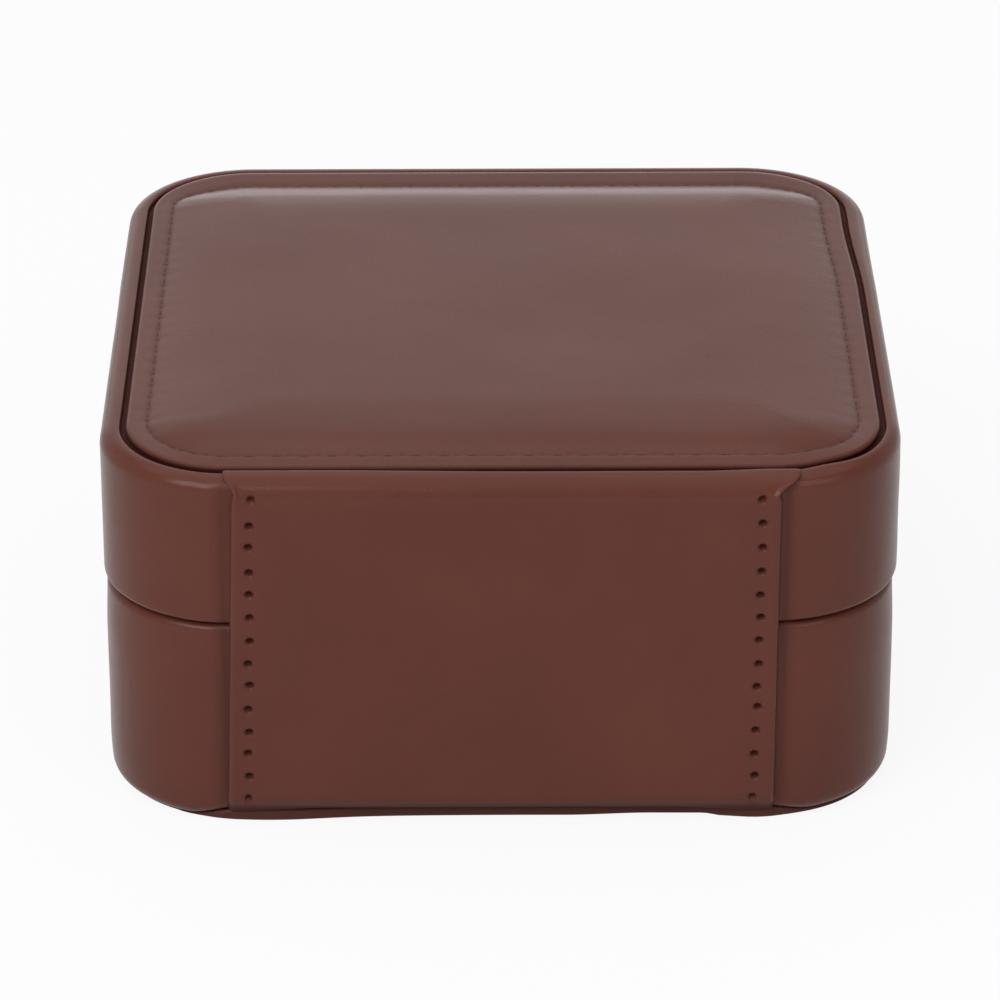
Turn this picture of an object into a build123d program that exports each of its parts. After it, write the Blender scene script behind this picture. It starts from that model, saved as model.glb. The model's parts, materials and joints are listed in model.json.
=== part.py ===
from build123d import *
from math import acos, atan2, cos, degrees, hypot, pi, sin
import os

# Travel jewellery box, closed and standing on its base. Millimetres, +Z up.
# The origin is the middle of the underside. The snap tab is at the front, -Y, and the
# stitched leather hinge panel is at the back, +Y. An inset is a distance in from the
# outer face of the lid, measured square to it, all the way round the rounded outline.

# Overall size of the closed box, without the hinge panel, the tab and the padded crown
box_width = 100.0
box_depth = 100.0
rim_height = 48.0  # the top of the lid's rim, above the table
seam_height = 28.0  # where the lid and the base part
corner_radius = 16.5
lid_overhang = 0.35  # the lid stands out past the base by this much all round
seam_gap = 0.3

# Leather, shells and lining
skin = 0.8  # leather on the outside
turned_skin = 0.6  # the same leather pared down where it turns in
turn_in = 5.0  # how far it turns in past the seam
turn_under = 8.0  # how far it turns under the base and under the padded panel
shell_wall = 1.7
base_floor = 2.0
lid_deck = 1.8
liner = 1.4  # velvet on card
glue_line = 0.1
rim_edge_radius = 2.0
foot_edge_radius = 1.6
seam_edge_radius = 0.7
butt_gap = 0.4  # the ends of the leather band meet behind the hinge panel

# Covered card under the base
bottom_panel = 1.5
bottom_panel_setback = 1.0
bottom_panel_edge_radius = 0.5

# Padded panel in the top of the lid
lid_recess = 3.4  # from the rim down to the lid's deck
groove = 0.6  # between the rim and the padded panel
panel_shift = 0.4  # the panel sits this far forward, clear of the hinge leather in the groove
panel_board = 1.4
panel_edge = 1.2  # how far in the rounded edge of the panel reaches
panel_edge_drop = 0.7  # the rounded edge starts this far under the rim
panel_edge_rise = 0.3  # and ends this far above it
stitch_inset = 2.7  # from the panel's edge to its line of stitches
stitch_channel = 0.8  # width of the channel that the stitches pull down
stitch_depth = 0.3
crown_rise = 1.3  # the padding's height above the stitched border
crown_reach = 15.0  # how far in the padding goes on rising
crown_steps = 6
least_radius = 1.5

# Collar and lining of the base
collar_height = 3.0  # the lining stands this far above the seam, inside the lid
collar_headroom = 0.5
floor_pad = 1.6
pad_clearance = 0.15

# Ring rolls and dividers
roll_count = 4
roll_height = 17.0
roll_gap = 0.2
roll_end_radius = 4.0
roll_end_clearance = 0.3
divider = 2.0
divider_height = 20.0
divider_edge_radius = 0.6
divider_clearance = 0.15
long_divider_clearance = 0.35  # at each end of the long divider
compartment_width = 28.0  # the middle one of the three, between the two dividers

# Lining of the lid
ceiling_pad = 1.3

# Necklace hooks and their leather strip
hook_count = 3
hook_spacing = 22.0
hook_setback = 20.0  # from the lid's front face to the middle of the strip
hook_strip = 1.2
hook_strip_width = 10.0
hook_strip_overhang = 8.0  # past the outer hooks
hook_flange_radius = 2.6
hook_flange = 0.6
hook_wire_radius = 0.8
hook_drop = 2.0
hook_bend_radius = 2.2
hook_tip = 1.5
hook_ball_radius = 1.2

# Elastic pocket in the lid
pocket_width = 78.0
pocket_length = 37.0
pocket_depth = 6.2
pocket_fabric = 0.8
pocket_setback = 9.0  # from the lid's back face
pocket_corner_radius = 9.0
pocket_edge_radius = 3.0
elastic_width = 4.0
elastic_thickness = 1.2

# Leather hinge panel
hinge_width = 68.0
hinge_skin = 1.0
hinge_over_rim = 0.6
hinge_outer_radius = 3.0
hinge_tuck = 2.0  # down into the groove
hinge_tuck_under = 9.0

# Snap tab
tab_width = 20.0
tab_skin = 1.6
tab_root_length = 8.5
tab_root_radius = 3.0
tab_axis_above_seam = 8.5
snap_arm = 18.0  # from the tab's fold to the middle of its snap
tab_clearance = 0.05

# Press stud
cap_radius = 5.0
cap_dome = 1.1
cap_rim = 0.3
socket_radius = 3.8
socket_flange = 0.9
socket_bore_radius = 2.05
socket_bore_depth = 1.5
socket_barrel_radius = 2.4
socket_barrel = 0.8
snap_hole_clearance = 0.1
stud_flange_radius = 3.6
stud_flange = 0.3
stud_neck_radius = 1.4
stud_head_radius = 1.8
stud_height = 1.2
stud_tip_clearance = 0.05
stud_closed_clearance = 0.35
post_flange_radius = 3.2
post_flange = 0.5
post_radius = 0.9
post_reach = 0.6  # of the post into the stud's head

# Levels above the table
skirt_level = bottom_panel + glue_line
base_shell_bottom = skirt_level + skin
base_floor_level = base_shell_bottom + base_floor
base_top = seam_height - seam_gap / 2
floor_pad_bottom = base_floor_level + glue_line
floor_level = floor_pad_bottom + floor_pad
collar_top = seam_height + collar_height
lid_bottom = seam_height + seam_gap / 2
lid_liner_bottom = collar_top + collar_headroom
deck_top = rim_height - lid_recess
deck_bottom = deck_top - lid_deck
ceiling_pad_top = deck_bottom - glue_line
ceiling_level = ceiling_pad_top - ceiling_pad
panel_bottom = deck_top + glue_line
board_bottom = panel_bottom + turned_skin
board_top = board_bottom + panel_board
strip_bottom = ceiling_level - hook_strip

# Insets from the lid's outer face
base_face = lid_overhang
base_shell_face = base_face + skin
base_room = base_shell_face + shell_wall
base_liner_face = base_room + turned_skin + glue_line
base_cavity = base_liner_face + liner
lid_shell_face = skin
lid_room = lid_shell_face + shell_wall
rim_width = lid_room + turned_skin
lid_liner_face = rim_width + glue_line
lid_cavity = lid_liner_face + liner
panel_face = rim_width + groove

# Places along the depth
back = box_depth / 2
base_back = back - base_face
base_front = -base_back
cavity_front = base_cavity - back
cavity_back = back - base_cavity
section_depth = cavity_back - divider / 2
hinge_axis_depth = back + hinge_skin


def plan(inset, level, middle=0.0):
    """The box's rounded outline, drawn in by the inset, at a level and a middle's depth."""
    radius = max(corner_radius - inset, least_radius)
    with BuildSketch(Plane((0, middle, level))) as outline:
        RectangleRounded(box_width - 2 * inset, box_depth - 2 * inset, radius)
    return outline.sketch


def block(inset, bottom, top, mode=Mode.ADD, middle=0.0):
    """An upright block of that outline, between two levels."""
    extrude(plan(inset, bottom, middle), amount=top - bottom, mode=mode)


def padding_height(distance):
    """Top of the padded panel, at a distance in from its edge."""
    border = rim_height + panel_edge_rise
    if distance <= panel_edge:
        turn = pi / 2 * distance / panel_edge
        return rim_height - panel_edge_drop + (panel_edge_drop + panel_edge_rise) * sin(turn)
    padding_start = stitch_inset + stitch_channel / 2
    if distance < padding_start:
        off_stitch = abs(distance - stitch_inset) / (stitch_channel / 2)
        return border - stitch_depth * max(0.0, 1 - off_stitch)
    rise = min(1.0, (distance - padding_start) / crown_reach)
    return border + crown_rise * (1 - (1 - rise) ** 2)


def padding_distances():
    """Where the panel's sections are taken, from its edge inwards."""
    rounded_edge = [panel_edge * step / 4 for step in range(5)]
    half = stitch_channel / 2
    channel = [stitch_inset - half, stitch_inset, stitch_inset + half]
    crown = [channel[-1] + crown_reach * step / crown_steps for step in range(1, crown_steps + 1)]
    return rounded_edge + channel + crown


def padded_block(first, bottom, lowered, mode=Mode.ADD):
    """A block under the padded crown, whose side is the first distance in from the edge."""
    levels = [(first, bottom), (first, padding_height(first) - lowered)]
    for distance in padding_distances():
        if distance > first + glue_line:
            levels.append((distance, padding_height(distance) - lowered))
    sections = [plan(panel_face + inwards, level, -panel_shift) for inwards, level in levels]
    loft(sections, ruled=True, mode=mode)


def write(piece, name):
    """Labels a finished piece and writes its file."""
    piece.part.label = name
    export_step(piece.part, f"parts/{name}.step")


os.makedirs("parts", exist_ok=True)

# The snap tab's tilts: closed, when its socket is pressed over the stud, and at rest, when the
# socket's mouth stands just clear of the stud's tip. Both solve reach*cos(t) - arm*sin(t) = gap.
socket_reach = tab_skin + socket_flange
axis_stand_off = lid_overhang + tab_skin + tab_clearance


def tab_tilt(mouth_stand_off):
    """The tab's tilt, in radians, that holds the socket's mouth this far off the base's face."""
    gap = axis_stand_off - mouth_stand_off
    return acos(gap / hypot(socket_reach, snap_arm)) - atan2(snap_arm, socket_reach)


closed_tilt = tab_tilt(stud_flange + stud_closed_clearance)
rest_tilt = tab_tilt(stud_flange + stud_height + stud_tip_clearance)
tab_axis_height = seam_height + tab_axis_above_seam
tab_axis_depth = base_front - axis_stand_off
stud_level = tab_axis_height - snap_arm * cos(closed_tilt) - socket_reach * sin(closed_tilt)

# BASE

with BuildPart() as base_bottom_panel:
    block(base_face + bottom_panel_setback, 0, bottom_panel)
    fillet(base_bottom_panel.edges().filter_by(Plane.XY), bottom_panel_edge_radius)
write(base_bottom_panel, "base_bottom_panel")

# The front wall's hole for the snap's post
stud_face = Plane(origin=(0, base_front, stud_level), x_dir=(1, 0, 0), z_dir=(0, -1, 0))

with BuildPart() as base_shell:
    block(base_shell_face, base_shell_bottom, base_top - skin)
    fillet(base_shell.edges().group_by(Axis.Z)[0], foot_edge_radius - skin)
    block(base_room, base_floor_level, base_top, Mode.SUBTRACT)
    with Locations(stud_face):
        Hole(post_radius + snap_hole_clearance, depth=base_liner_face)
write(base_shell, "base_shell")

with BuildPart() as base_side_wrap:
    block(base_face, skirt_level, base_top)
    fillet(base_side_wrap.edges().group_by(Axis.Z)[-1], seam_edge_radius)
    fillet(base_side_wrap.edges().group_by(Axis.Z)[0], foot_edge_radius)
    add(base_shell.part, mode=Mode.SUBTRACT)
    block(base_room + turned_skin, base_floor_level, base_top, Mode.SUBTRACT)
    block(base_room, base_floor_level, base_top - turn_in, Mode.SUBTRACT)
    block(base_face + turn_under, skirt_level, base_shell_bottom, Mode.SUBTRACT)
    # Relief under the back edge, for the hinge panel's tucked end
    with Locations((0, base_back, base_shell_bottom)):
        Box(
            hinge_width + 2 * glue_line,
            2 * (hinge_tuck_under + glue_line),
            2 * skin,
            mode=Mode.SUBTRACT,
        )
    # The two ends of the leather band
    with Locations((0, base_back, base_top / 2)):
        Box(butt_gap, 2 * turn_under, base_top, mode=Mode.SUBTRACT)
    with Locations(stud_face):
        Hole(post_radius + snap_hole_clearance, depth=base_liner_face)
write(base_side_wrap, "base_side_wrap")

with BuildPart() as base_wall_liner:
    block(base_liner_face, floor_pad_bottom, collar_top)
    block(base_cavity, floor_pad_bottom, collar_top, Mode.SUBTRACT)
    fillet(base_wall_liner.edges().group_by(Axis.Z)[-1], liner / 3)
write(base_wall_liner, "base_wall_liner")

with BuildPart() as base_floor_pad:
    block(base_cavity + pad_clearance, floor_pad_bottom, floor_level)
write(base_floor_pad, "base_floor_pad")

# Foam rolls that hold rings between them, across the front half of the tray
roll_width = (section_depth - (roll_count + 1) * roll_gap) / roll_count
roll_crown_level = floor_level + roll_height - roll_width / 2

for number in range(roll_count):
    roll_middle = cavity_front + roll_gap + roll_width / 2 + number * (roll_width + roll_gap)
    with BuildPart() as ring_roll:
        with BuildSketch(Plane.YZ):
            with Locations((roll_middle, floor_level)):
                Rectangle(roll_width, roll_height - roll_width / 2, align=(Align.CENTER, Align.MIN))
            with Locations((roll_middle, roll_crown_level)):
                Circle(roll_width / 2)
        extrude(amount=box_width / 2, both=True)
        with BuildSketch(Plane.XZ):
            with Locations((0, floor_level - roll_end_radius)):
                RectangleRounded(
                    box_width - 2 * (base_cavity + roll_end_clearance),
                    roll_height + roll_end_radius,
                    roll_end_radius,
                    align=(Align.CENTER, Align.MIN),
                )
        extrude(amount=box_depth / 2, both=True, mode=Mode.INTERSECT)
        block(base_cavity + roll_end_clearance, floor_level, rim_height, Mode.INTERSECT)
    write(ring_roll, f"ring_roll_{number + 1}")

with BuildPart() as long_divider:
    with BuildSketch(Plane.XY.offset(floor_level)):
        Rectangle(box_width - 2 * (base_cavity + long_divider_clearance), divider)
    extrude(amount=divider_height)
    fillet(long_divider.edges().group_by(Axis.Z)[-1], divider_edge_radius)
write(long_divider, "long_divider")

divider_start = divider / 2 + divider_clearance
divider_run = cavity_back - divider_clearance - divider_start

for side, name in ((-1, "cross_divider_left"), (1, "cross_divider_right")):
    with BuildPart() as cross_divider:
        with BuildSketch(Plane.XY.offset(floor_level + divider_clearance)):
            with Locations((side * (compartment_width + divider) / 2, divider_start)):
                Rectangle(divider, divider_run, align=(Align.CENTER, Align.MIN))
        extrude(amount=divider_height - divider_clearance)
        fillet(cross_divider.edges().group_by(Axis.Z)[-1], divider_edge_radius)
    write(cross_divider, name)

stud_section = Plane(origin=(0, base_front, stud_level), x_dir=(1, 0, 0), z_dir=(0, 0, 1))
stud_axis = Axis((0, base_front, stud_level), (0, 1, 0))

with BuildPart() as snap_stud:
    with BuildSketch(stud_section):
        with BuildLine():
            Polyline(
                (0, -stud_flange - stud_height),
                (stud_neck_radius, -stud_flange - stud_height),
                (stud_head_radius, -stud_flange - 0.75 * stud_height),
                (stud_head_radius, -stud_flange - 0.5 * stud_height),
                (stud_neck_radius, -stud_flange - 0.25 * stud_height),
                (stud_neck_radius, -stud_flange),
                (stud_flange_radius, -stud_flange),
                (stud_flange_radius, 0),
                (0, 0),
                close=True,
            )
        make_face()
    revolve(axis=stud_axis)
    with Locations(Plane(origin=stud_axis.position, z_dir=(0, 1, 0))):
        Hole(post_radius, depth=stud_flange + post_reach)
write(snap_stud, "snap_stud")

with BuildPart() as snap_post:
    with Locations(Plane(origin=(0, base_room - back, stud_level), z_dir=(0, 1, 0))):
        Cylinder(post_flange_radius, post_flange, align=(Align.CENTER, Align.CENTER, Align.MIN))
        Cylinder(
            post_radius,
            base_room - base_face + stud_flange + post_reach,
            align=(Align.CENTER, Align.CENTER, Align.MAX),
        )
write(snap_post, "snap_post")

# The leather hinge panel is one sheet, glued and stitched to the base and to the lid. It folds
# along its outer face at the seam, so it is made here in two halves that meet at the fold.
with BuildPart() as hinge_panel_lower:
    with BuildSketch(Plane.YZ.offset(-hinge_width / 2)):
        edge_middle = skirt_level + foot_edge_radius
        relief_turn = degrees(acos((foot_edge_radius - skin) / foot_edge_radius)) - 90
        with BuildLine():
            face = Line((base_back, seam_height), (base_back, edge_middle))
            turned = CenterArc(
                (base_back - foot_edge_radius, edge_middle), foot_edge_radius, 0, relief_turn
            )
            tuck_top = Line(turned @ 1, (base_back - hinge_tuck_under, base_shell_bottom))
            tuck_end = Line(tuck_top @ 1, (base_back - hinge_tuck_under, skirt_level))
            underside = Line(tuck_end @ 1, (hinge_axis_depth - hinge_outer_radius, skirt_level))
            corner = CenterArc(
                (hinge_axis_depth - hinge_outer_radius, skirt_level + hinge_outer_radius),
                hinge_outer_radius,
                -90,
                90,
            )
            Polyline(corner @ 1, (hinge_axis_depth, seam_height), face @ 0)
        make_face()
    extrude(amount=hinge_width)
write(hinge_panel_lower, "hinge_panel_lower")

# LID

with BuildPart() as lid_shell:
    block(lid_shell_face, lid_bottom + skin, rim_height - skin)
    fillet(lid_shell.edges().group_by(Axis.Z)[-1], rim_edge_radius - skin)
    block(lid_room, deck_top, rim_height, Mode.SUBTRACT)
    block(lid_room, lid_bottom, deck_bottom, Mode.SUBTRACT)
write(lid_shell, "lid_shell")

with BuildPart() as lid_side_wrap:
    block(0, lid_bottom, rim_height)
    fillet(lid_side_wrap.edges().group_by(Axis.Z)[-1], rim_edge_radius)
    fillet(lid_side_wrap.edges().group_by(Axis.Z)[0], seam_edge_radius)
    add(lid_shell.part, mode=Mode.SUBTRACT)
    block(rim_width, deck_top, rim_height, Mode.SUBTRACT)
    block(rim_width, lid_bottom, deck_bottom, Mode.SUBTRACT)
    block(lid_room, lid_bottom + turn_in, deck_bottom, Mode.SUBTRACT)
    with Locations((0, back, (lid_bottom + rim_height) / 2)):
        Box(butt_gap, 2 * turn_under, rim_height - lid_bottom, mode=Mode.SUBTRACT)
write(lid_side_wrap, "lid_side_wrap")

with BuildPart() as top_panel_board:
    block(panel_face + skin + glue_line, board_bottom, board_top, middle=-panel_shift)
write(top_panel_board, "top_panel_board")

with BuildPart() as top_panel_foam:
    padded_block(skin + glue_line, board_top, skin + glue_line)
write(top_panel_foam, "top_panel_foam")

with BuildPart() as top_panel_cover:
    padded_block(0, panel_bottom, 0)
    padded_block(skin, board_bottom, skin, Mode.SUBTRACT)
    block(panel_face + turn_under, panel_bottom, board_bottom, Mode.SUBTRACT, -panel_shift)
write(top_panel_cover, "top_panel_cover")

with BuildPart() as lid_wall_liner:
    block(lid_liner_face, lid_liner_bottom, ceiling_pad_top)
    block(lid_cavity, lid_liner_bottom, ceiling_pad_top, Mode.SUBTRACT)
    fillet(lid_wall_liner.edges().group_by(Axis.Z)[0], liner / 3)
write(lid_wall_liner, "lid_wall_liner")

with BuildPart() as lid_ceiling_pad:
    block(lid_cavity + pad_clearance, ceiling_level, ceiling_pad_top)
write(lid_ceiling_pad, "lid_ceiling_pad")

with BuildPart() as hinge_panel_upper:
    with BuildSketch(Plane.YZ.offset(-hinge_width / 2)):
        over_rim = rim_height + hinge_over_rim
        tuck_face = back - rim_width
        with BuildLine():
            face = Line((back, seam_height), (back, rim_height - rim_edge_radius))
            turned = CenterArc(
                (back - rim_edge_radius, rim_height - rim_edge_radius), rim_edge_radius, 0, 90
            )
            tuck = Polyline(
                turned @ 1,
                (tuck_face, rim_height),
                (tuck_face, rim_height - hinge_tuck),
                (tuck_face - hinge_over_rim, rim_height - hinge_tuck),
                (tuck_face - hinge_over_rim, over_rim),
                (hinge_axis_depth - hinge_outer_radius, over_rim),
            )
            corner = CenterArc(
                (hinge_axis_depth - hinge_outer_radius, over_rim - hinge_outer_radius),
                hinge_outer_radius,
                90,
                -90,
            )
            Polyline(corner @ 1, (hinge_axis_depth, seam_height), face @ 0)
        make_face()
    extrude(amount=hinge_width)
write(hinge_panel_upper, "hinge_panel_upper")

# Leather strip and wire hooks for necklaces, near the edge that is uppermost in the open lid
hook_depth = hook_setback - back

with BuildPart() as hook_strip_piece:
    with BuildSketch(Plane.XY.offset(strip_bottom)):
        with Locations((0, hook_depth)):
            SlotOverall(
                (hook_count - 1) * hook_spacing + 2 * hook_strip_overhang, hook_strip_width
            )
    extrude(amount=hook_strip)
write(hook_strip_piece, "hook_strip")

for number in range(hook_count):
    hook_place = (number - (hook_count - 1) / 2) * hook_spacing
    wire_top = strip_bottom - hook_flange
    with BuildPart() as necklace_hook:
        with BuildLine(Plane.YZ.offset(hook_place)) as wire:
            drop = Line((hook_depth, wire_top), (hook_depth, wire_top - hook_drop))
            bend = TangentArc(
                drop @ 1,
                (hook_depth - hook_bend_radius, wire_top - hook_drop - hook_bend_radius),
                tangent=drop % 1,
            )
            tip = Line(bend @ 1, bend @ 1 + hook_tip * (bend % 1))
        with BuildSketch(Plane.XY.offset(wire_top)):
            with Locations((hook_place, hook_depth)):
                Circle(hook_wire_radius)
        sweep(path=wire.wires()[0])
        with Locations(tip @ 1):
            Sphere(hook_ball_radius)
        with Locations((hook_place, hook_depth, wire_top)):
            Cylinder(
                hook_flange_radius, hook_flange, align=(Align.CENTER, Align.CENTER, Align.MIN)
            )
    write(necklace_hook, f"necklace_hook_{number + 1}")

# Gathered pocket, open towards the hooks, on the half of the lid that is lower when it is open
pocket_back = back - pocket_setback
pocket_mouth = pocket_back - pocket_length


def pocket_outline(drawn_in, mouth):
    """The pocket seen from under the lid, drawn in on three sides, from its mouth to its back."""
    with BuildSketch(Plane.XY.offset(ceiling_level)) as outline:
        with Locations((0, pocket_back - drawn_in)):
            RectangleRounded(
                pocket_width - 2 * drawn_in,
                2 * pocket_length,
                pocket_corner_radius - drawn_in,
                align=(Align.CENTER, Align.MAX),
            )
        with Locations((0, mouth)):
            Rectangle(
                pocket_width,
                2 * pocket_length,
                align=(Align.CENTER, Align.MAX),
                mode=Mode.SUBTRACT,
            )
    return outline.sketch


def pocket_block(drawn_in, mouth, depth, mode=Mode.ADD):
    """The pocket's bulge, as a block whose lower edge is rounded everywhere but at its mouth."""
    with BuildPart(mode=Mode.PRIVATE) as bulge:
        extrude(pocket_outline(drawn_in, mouth), amount=-depth)
        lower_edges = bulge.edges().group_by(Axis.Z)[0]
        fillet(lower_edges.sort_by(Axis.Y)[1:], pocket_edge_radius - drawn_in)
    add(bulge.part, mode=mode)


with BuildPart() as pocket:
    pocket_block(0, pocket_mouth, pocket_depth)
    pocket_block(pocket_fabric, pocket_mouth, pocket_depth - pocket_fabric, Mode.SUBTRACT)
write(pocket, "pocket")

with BuildPart() as pocket_elastic:
    pocket_block(0, pocket_mouth - elastic_width, pocket_depth)
    pocket_block(
        elastic_thickness,
        pocket_mouth - elastic_width,
        pocket_depth - elastic_thickness,
        Mode.SUBTRACT,
    )
    with Locations((0, pocket_mouth, ceiling_level)):
        Box(
            box_width,
            box_depth,
            2 * pocket_depth,
            align=(Align.CENTER, Align.MIN, Align.CENTER),
            mode=Mode.SUBTRACT,
        )
write(pocket_elastic, "pocket_elastic")

# SNAP TAB

# The tab's root is stitched to the lid's front. Below it the tab folds along its outer face.
with BuildPart() as tab_root:
    with BuildSketch(Plane.XZ.offset(back)):
        with Locations((0, tab_axis_height)):
            Rectangle(tab_width, tab_root_length, align=(Align.CENTER, Align.MIN))
    extrude(amount=tab_skin)
    top_corners = tab_root.edges().filter_by(Axis.Y).group_by(Axis.Z)[-1]
    fillet(top_corners, tab_root_radius)
write(tab_root, "tab_root")

tab_plane = Plane(
    origin=(0, tab_axis_depth, tab_axis_height),
    x_dir=(1, 0, 0),
    z_dir=(0, -cos(rest_tilt), sin(rest_tilt)),
)
snap_plane = Plane(
    origin=tab_plane.from_local_coords((0, -snap_arm, 0)),
    x_dir=tab_plane.x_dir,
    z_dir=tab_plane.z_dir,
)

with BuildPart() as tab_flap:
    with BuildSketch(tab_plane):
        Rectangle(tab_width, snap_arm, align=(Align.CENTER, Align.MAX))
        with Locations((0, -snap_arm)):
            Circle(tab_width / 2)
            Circle(socket_barrel_radius + snap_hole_clearance, mode=Mode.SUBTRACT)
    extrude(amount=-tab_skin)
write(tab_flap, "tab_flap")

cap_sphere_radius = (cap_radius**2 + cap_dome**2) / (2 * cap_dome)

with BuildPart() as snap_cap:
    with BuildSketch(Plane(origin=snap_plane.origin, x_dir=(1, 0, 0), z_dir=-snap_plane.y_dir)):
        with BuildLine():
            edge = Polyline(
                (0, socket_barrel - tab_skin),
                (socket_barrel_radius, socket_barrel - tab_skin),
                (socket_barrel_radius, 0),
                (cap_radius, 0),
                (cap_radius, cap_rim),
            )
            dome = RadiusArc(edge @ 1, (0, cap_rim + cap_dome), -cap_sphere_radius)
            Line(dome @ 1, edge @ 0)
        make_face()
    revolve(axis=Axis(snap_plane.origin, snap_plane.z_dir))
write(snap_cap, "snap_cap")

with BuildPart() as snap_socket:
    with Locations(snap_plane):
        with Locations((0, 0, -tab_skin)):
            Cylinder(
                socket_radius, socket_flange, align=(Align.CENTER, Align.CENTER, Align.MAX)
            )
            Cylinder(
                socket_barrel_radius,
                socket_barrel,
                align=(Align.CENTER, Align.CENTER, Align.MIN),
            )
        with Locations((0, 0, -socket_reach)):
            Cylinder(
                socket_bore_radius,
                socket_bore_depth,
                align=(Align.CENTER, Align.CENTER, Align.MIN),
                mode=Mode.SUBTRACT,
            )
write(snap_socket, "snap_socket")

print("tab tilt at rest", round(degrees(rest_tilt), 3), "and closed", round(degrees(closed_tilt), 3))
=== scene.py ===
"""A square travel jewelry box in brown leather, seen from behind and above.

Shapes are worked out in millimetres and made into meshes in metres. The front, with its snap tab, is
towards -Y and the stitched hinge leather is towards +Y. An inset is a distance in from the lid's
outer face, measured square to it, all the way round the rounded outline.
"""
import json
from math import asin, cos, hypot, pi, radians, sin

import bmesh
import bpy
import numpy as np
from mathutils import Matrix, Vector


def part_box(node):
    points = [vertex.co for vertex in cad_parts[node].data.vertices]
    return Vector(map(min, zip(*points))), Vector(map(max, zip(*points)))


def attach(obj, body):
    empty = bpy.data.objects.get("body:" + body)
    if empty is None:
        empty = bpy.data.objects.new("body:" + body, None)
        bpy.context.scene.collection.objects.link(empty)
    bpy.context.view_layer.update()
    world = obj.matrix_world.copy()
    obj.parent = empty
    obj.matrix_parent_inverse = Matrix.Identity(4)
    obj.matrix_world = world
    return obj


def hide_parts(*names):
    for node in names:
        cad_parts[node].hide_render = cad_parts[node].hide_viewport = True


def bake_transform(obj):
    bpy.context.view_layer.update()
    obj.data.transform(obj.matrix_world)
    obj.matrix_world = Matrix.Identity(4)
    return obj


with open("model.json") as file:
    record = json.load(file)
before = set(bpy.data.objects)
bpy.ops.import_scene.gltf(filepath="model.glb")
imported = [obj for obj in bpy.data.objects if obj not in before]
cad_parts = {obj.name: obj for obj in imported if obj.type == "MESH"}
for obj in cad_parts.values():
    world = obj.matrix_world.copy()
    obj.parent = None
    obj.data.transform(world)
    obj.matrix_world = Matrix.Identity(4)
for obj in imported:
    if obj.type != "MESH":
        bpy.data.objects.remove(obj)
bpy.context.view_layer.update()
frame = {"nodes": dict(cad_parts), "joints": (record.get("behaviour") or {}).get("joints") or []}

MM = 0.001
SAME_PLACE = 1e-7  # points closer than this, in metres, are one


def corners(node):
    """A frame node's lowest and highest corner, in millimetres."""
    low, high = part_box(node)
    return np.array(low) / MM, np.array(high) / MM


# Sizes read from the frame
lid_low, lid_high = corners("lid_side_wrap")
base_low, base_high = corners("base_side_wrap")
panel_low, panel_high = corners("top_panel_cover")
_, hinge_high = corners("hinge_panel_upper")
HALF = lid_high[0]  # half the lid's width
RIM = lid_high[2]  # the top of the lid's rim
LID_BOTTOM = lid_low[2]
BASE_TOP = base_high[2]
FOOT = base_low[2]
SEAM = (LID_BOTTOM + BASE_TOP) / 2
OVERHANG = HALF - base_high[0]
PANEL_BOTTOM = panel_low[2]
PANEL_SKIRT = HALF - panel_high[1]  # the widest gap between the lid's face and the panel's side
HINGE_HALF = hinge_high[0]
HINGE_FACE = hinge_high[1]

# Sizes of the leather work
CORNER = 16.5  # the lid's corners, seen from above
SKIN = 0.8
TURNED_SKIN = 0.6
WALL = 1.7
RIM_EDGE = 2.6  # from the lid's face to the rim's inner edge
CREASE = 0.7  # between the rim and the padded panel
CREASE_DEPTH = 0.75
CREASE_ROUND = 0.35
TURN_IN = 5.0
TURN_UNDER = 8.0
RIM_ROUND = 2.0
FOOT_ROUND = 1.7
SEAM_ROUND = 1.0
INNER_ROUND = 0.5
STITCH_INSET = 2.7  # from the top panel's edge to its stitches
STITCH_DRAWN_IN = 2.4  # how much further in they run along the -Y side
STITCH_PITCH = 3.45


# Curves and outlines


def arc(centre, radius, start, end, steps=7):
    """Points on a circle from one angle to another, in degrees."""
    turn = np.radians(np.linspace(start, end, steps))
    return np.stack([centre[0] + radius * np.cos(turn), centre[1] + radius * np.sin(turn)], -1)


def run(start, end, steps):
    """Evenly spaced points on a straight line, without its first and last."""
    share = np.linspace(0, 1, steps + 2)[1:-1, None]
    return (1 - share) * np.array(start, float) + share * np.array(end, float)


def path(*pieces):
    """Joins arcs, runs and single points into one list of points."""
    return np.concatenate([np.atleast_2d(np.array(piece, float)) for piece in pieces])


def smooth(value):
    """The cubic ease 3t^2 - 2t^3 of a value held between 0 and 1."""
    held = np.clip(value, 0, 1)
    return held * held * (3 - 2 * held)


def rounded(value):
    """A quarter circle's rise, sqrt(1 - (1 - t)^2): nought at 0, steep at first, and one from 1 on."""
    return np.sqrt(1 - (1 - np.clip(value, 0, 1)) ** 2)


def quarter(radius, steps):
    """Insets and drops of a rounded edge's points, on a quarter circle from its side to its top."""
    turn = np.linspace(0, pi / 2, steps)
    return radius * (1 - np.cos(turn)), radius * (1 - np.sin(turn))


def bell(distance, width):
    """exp(-(distance / width)^2): one at no distance, and nearly nought past two widths."""
    return np.exp(-((distance / width) ** 2))


def unevenness(points, length, seed):
    """A slow, smooth unevenness, mostly from -1 to 1: a quarter of seven sine waves' sum.

    Each wave runs in a random direction, and their lengths lie about the one given.
    """
    rng = np.random.default_rng(seed)
    waves = rng.normal(size=(7, points.shape[-1]))
    waves *= (2 * pi / length) * rng.uniform(0.6, 1.5, (7, 1)) / np.linalg.norm(waves, axis=1)[:, None]
    phases = rng.uniform(0, 2 * pi, 7)
    return np.sin(points @ waves.T + phases).sum(-1) / 4


def joined(*parts):
    """Arrays of different shapes, spread to one shape, as the parts of points."""
    return np.stack(np.broadcast_arrays(*parts), -1)


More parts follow.
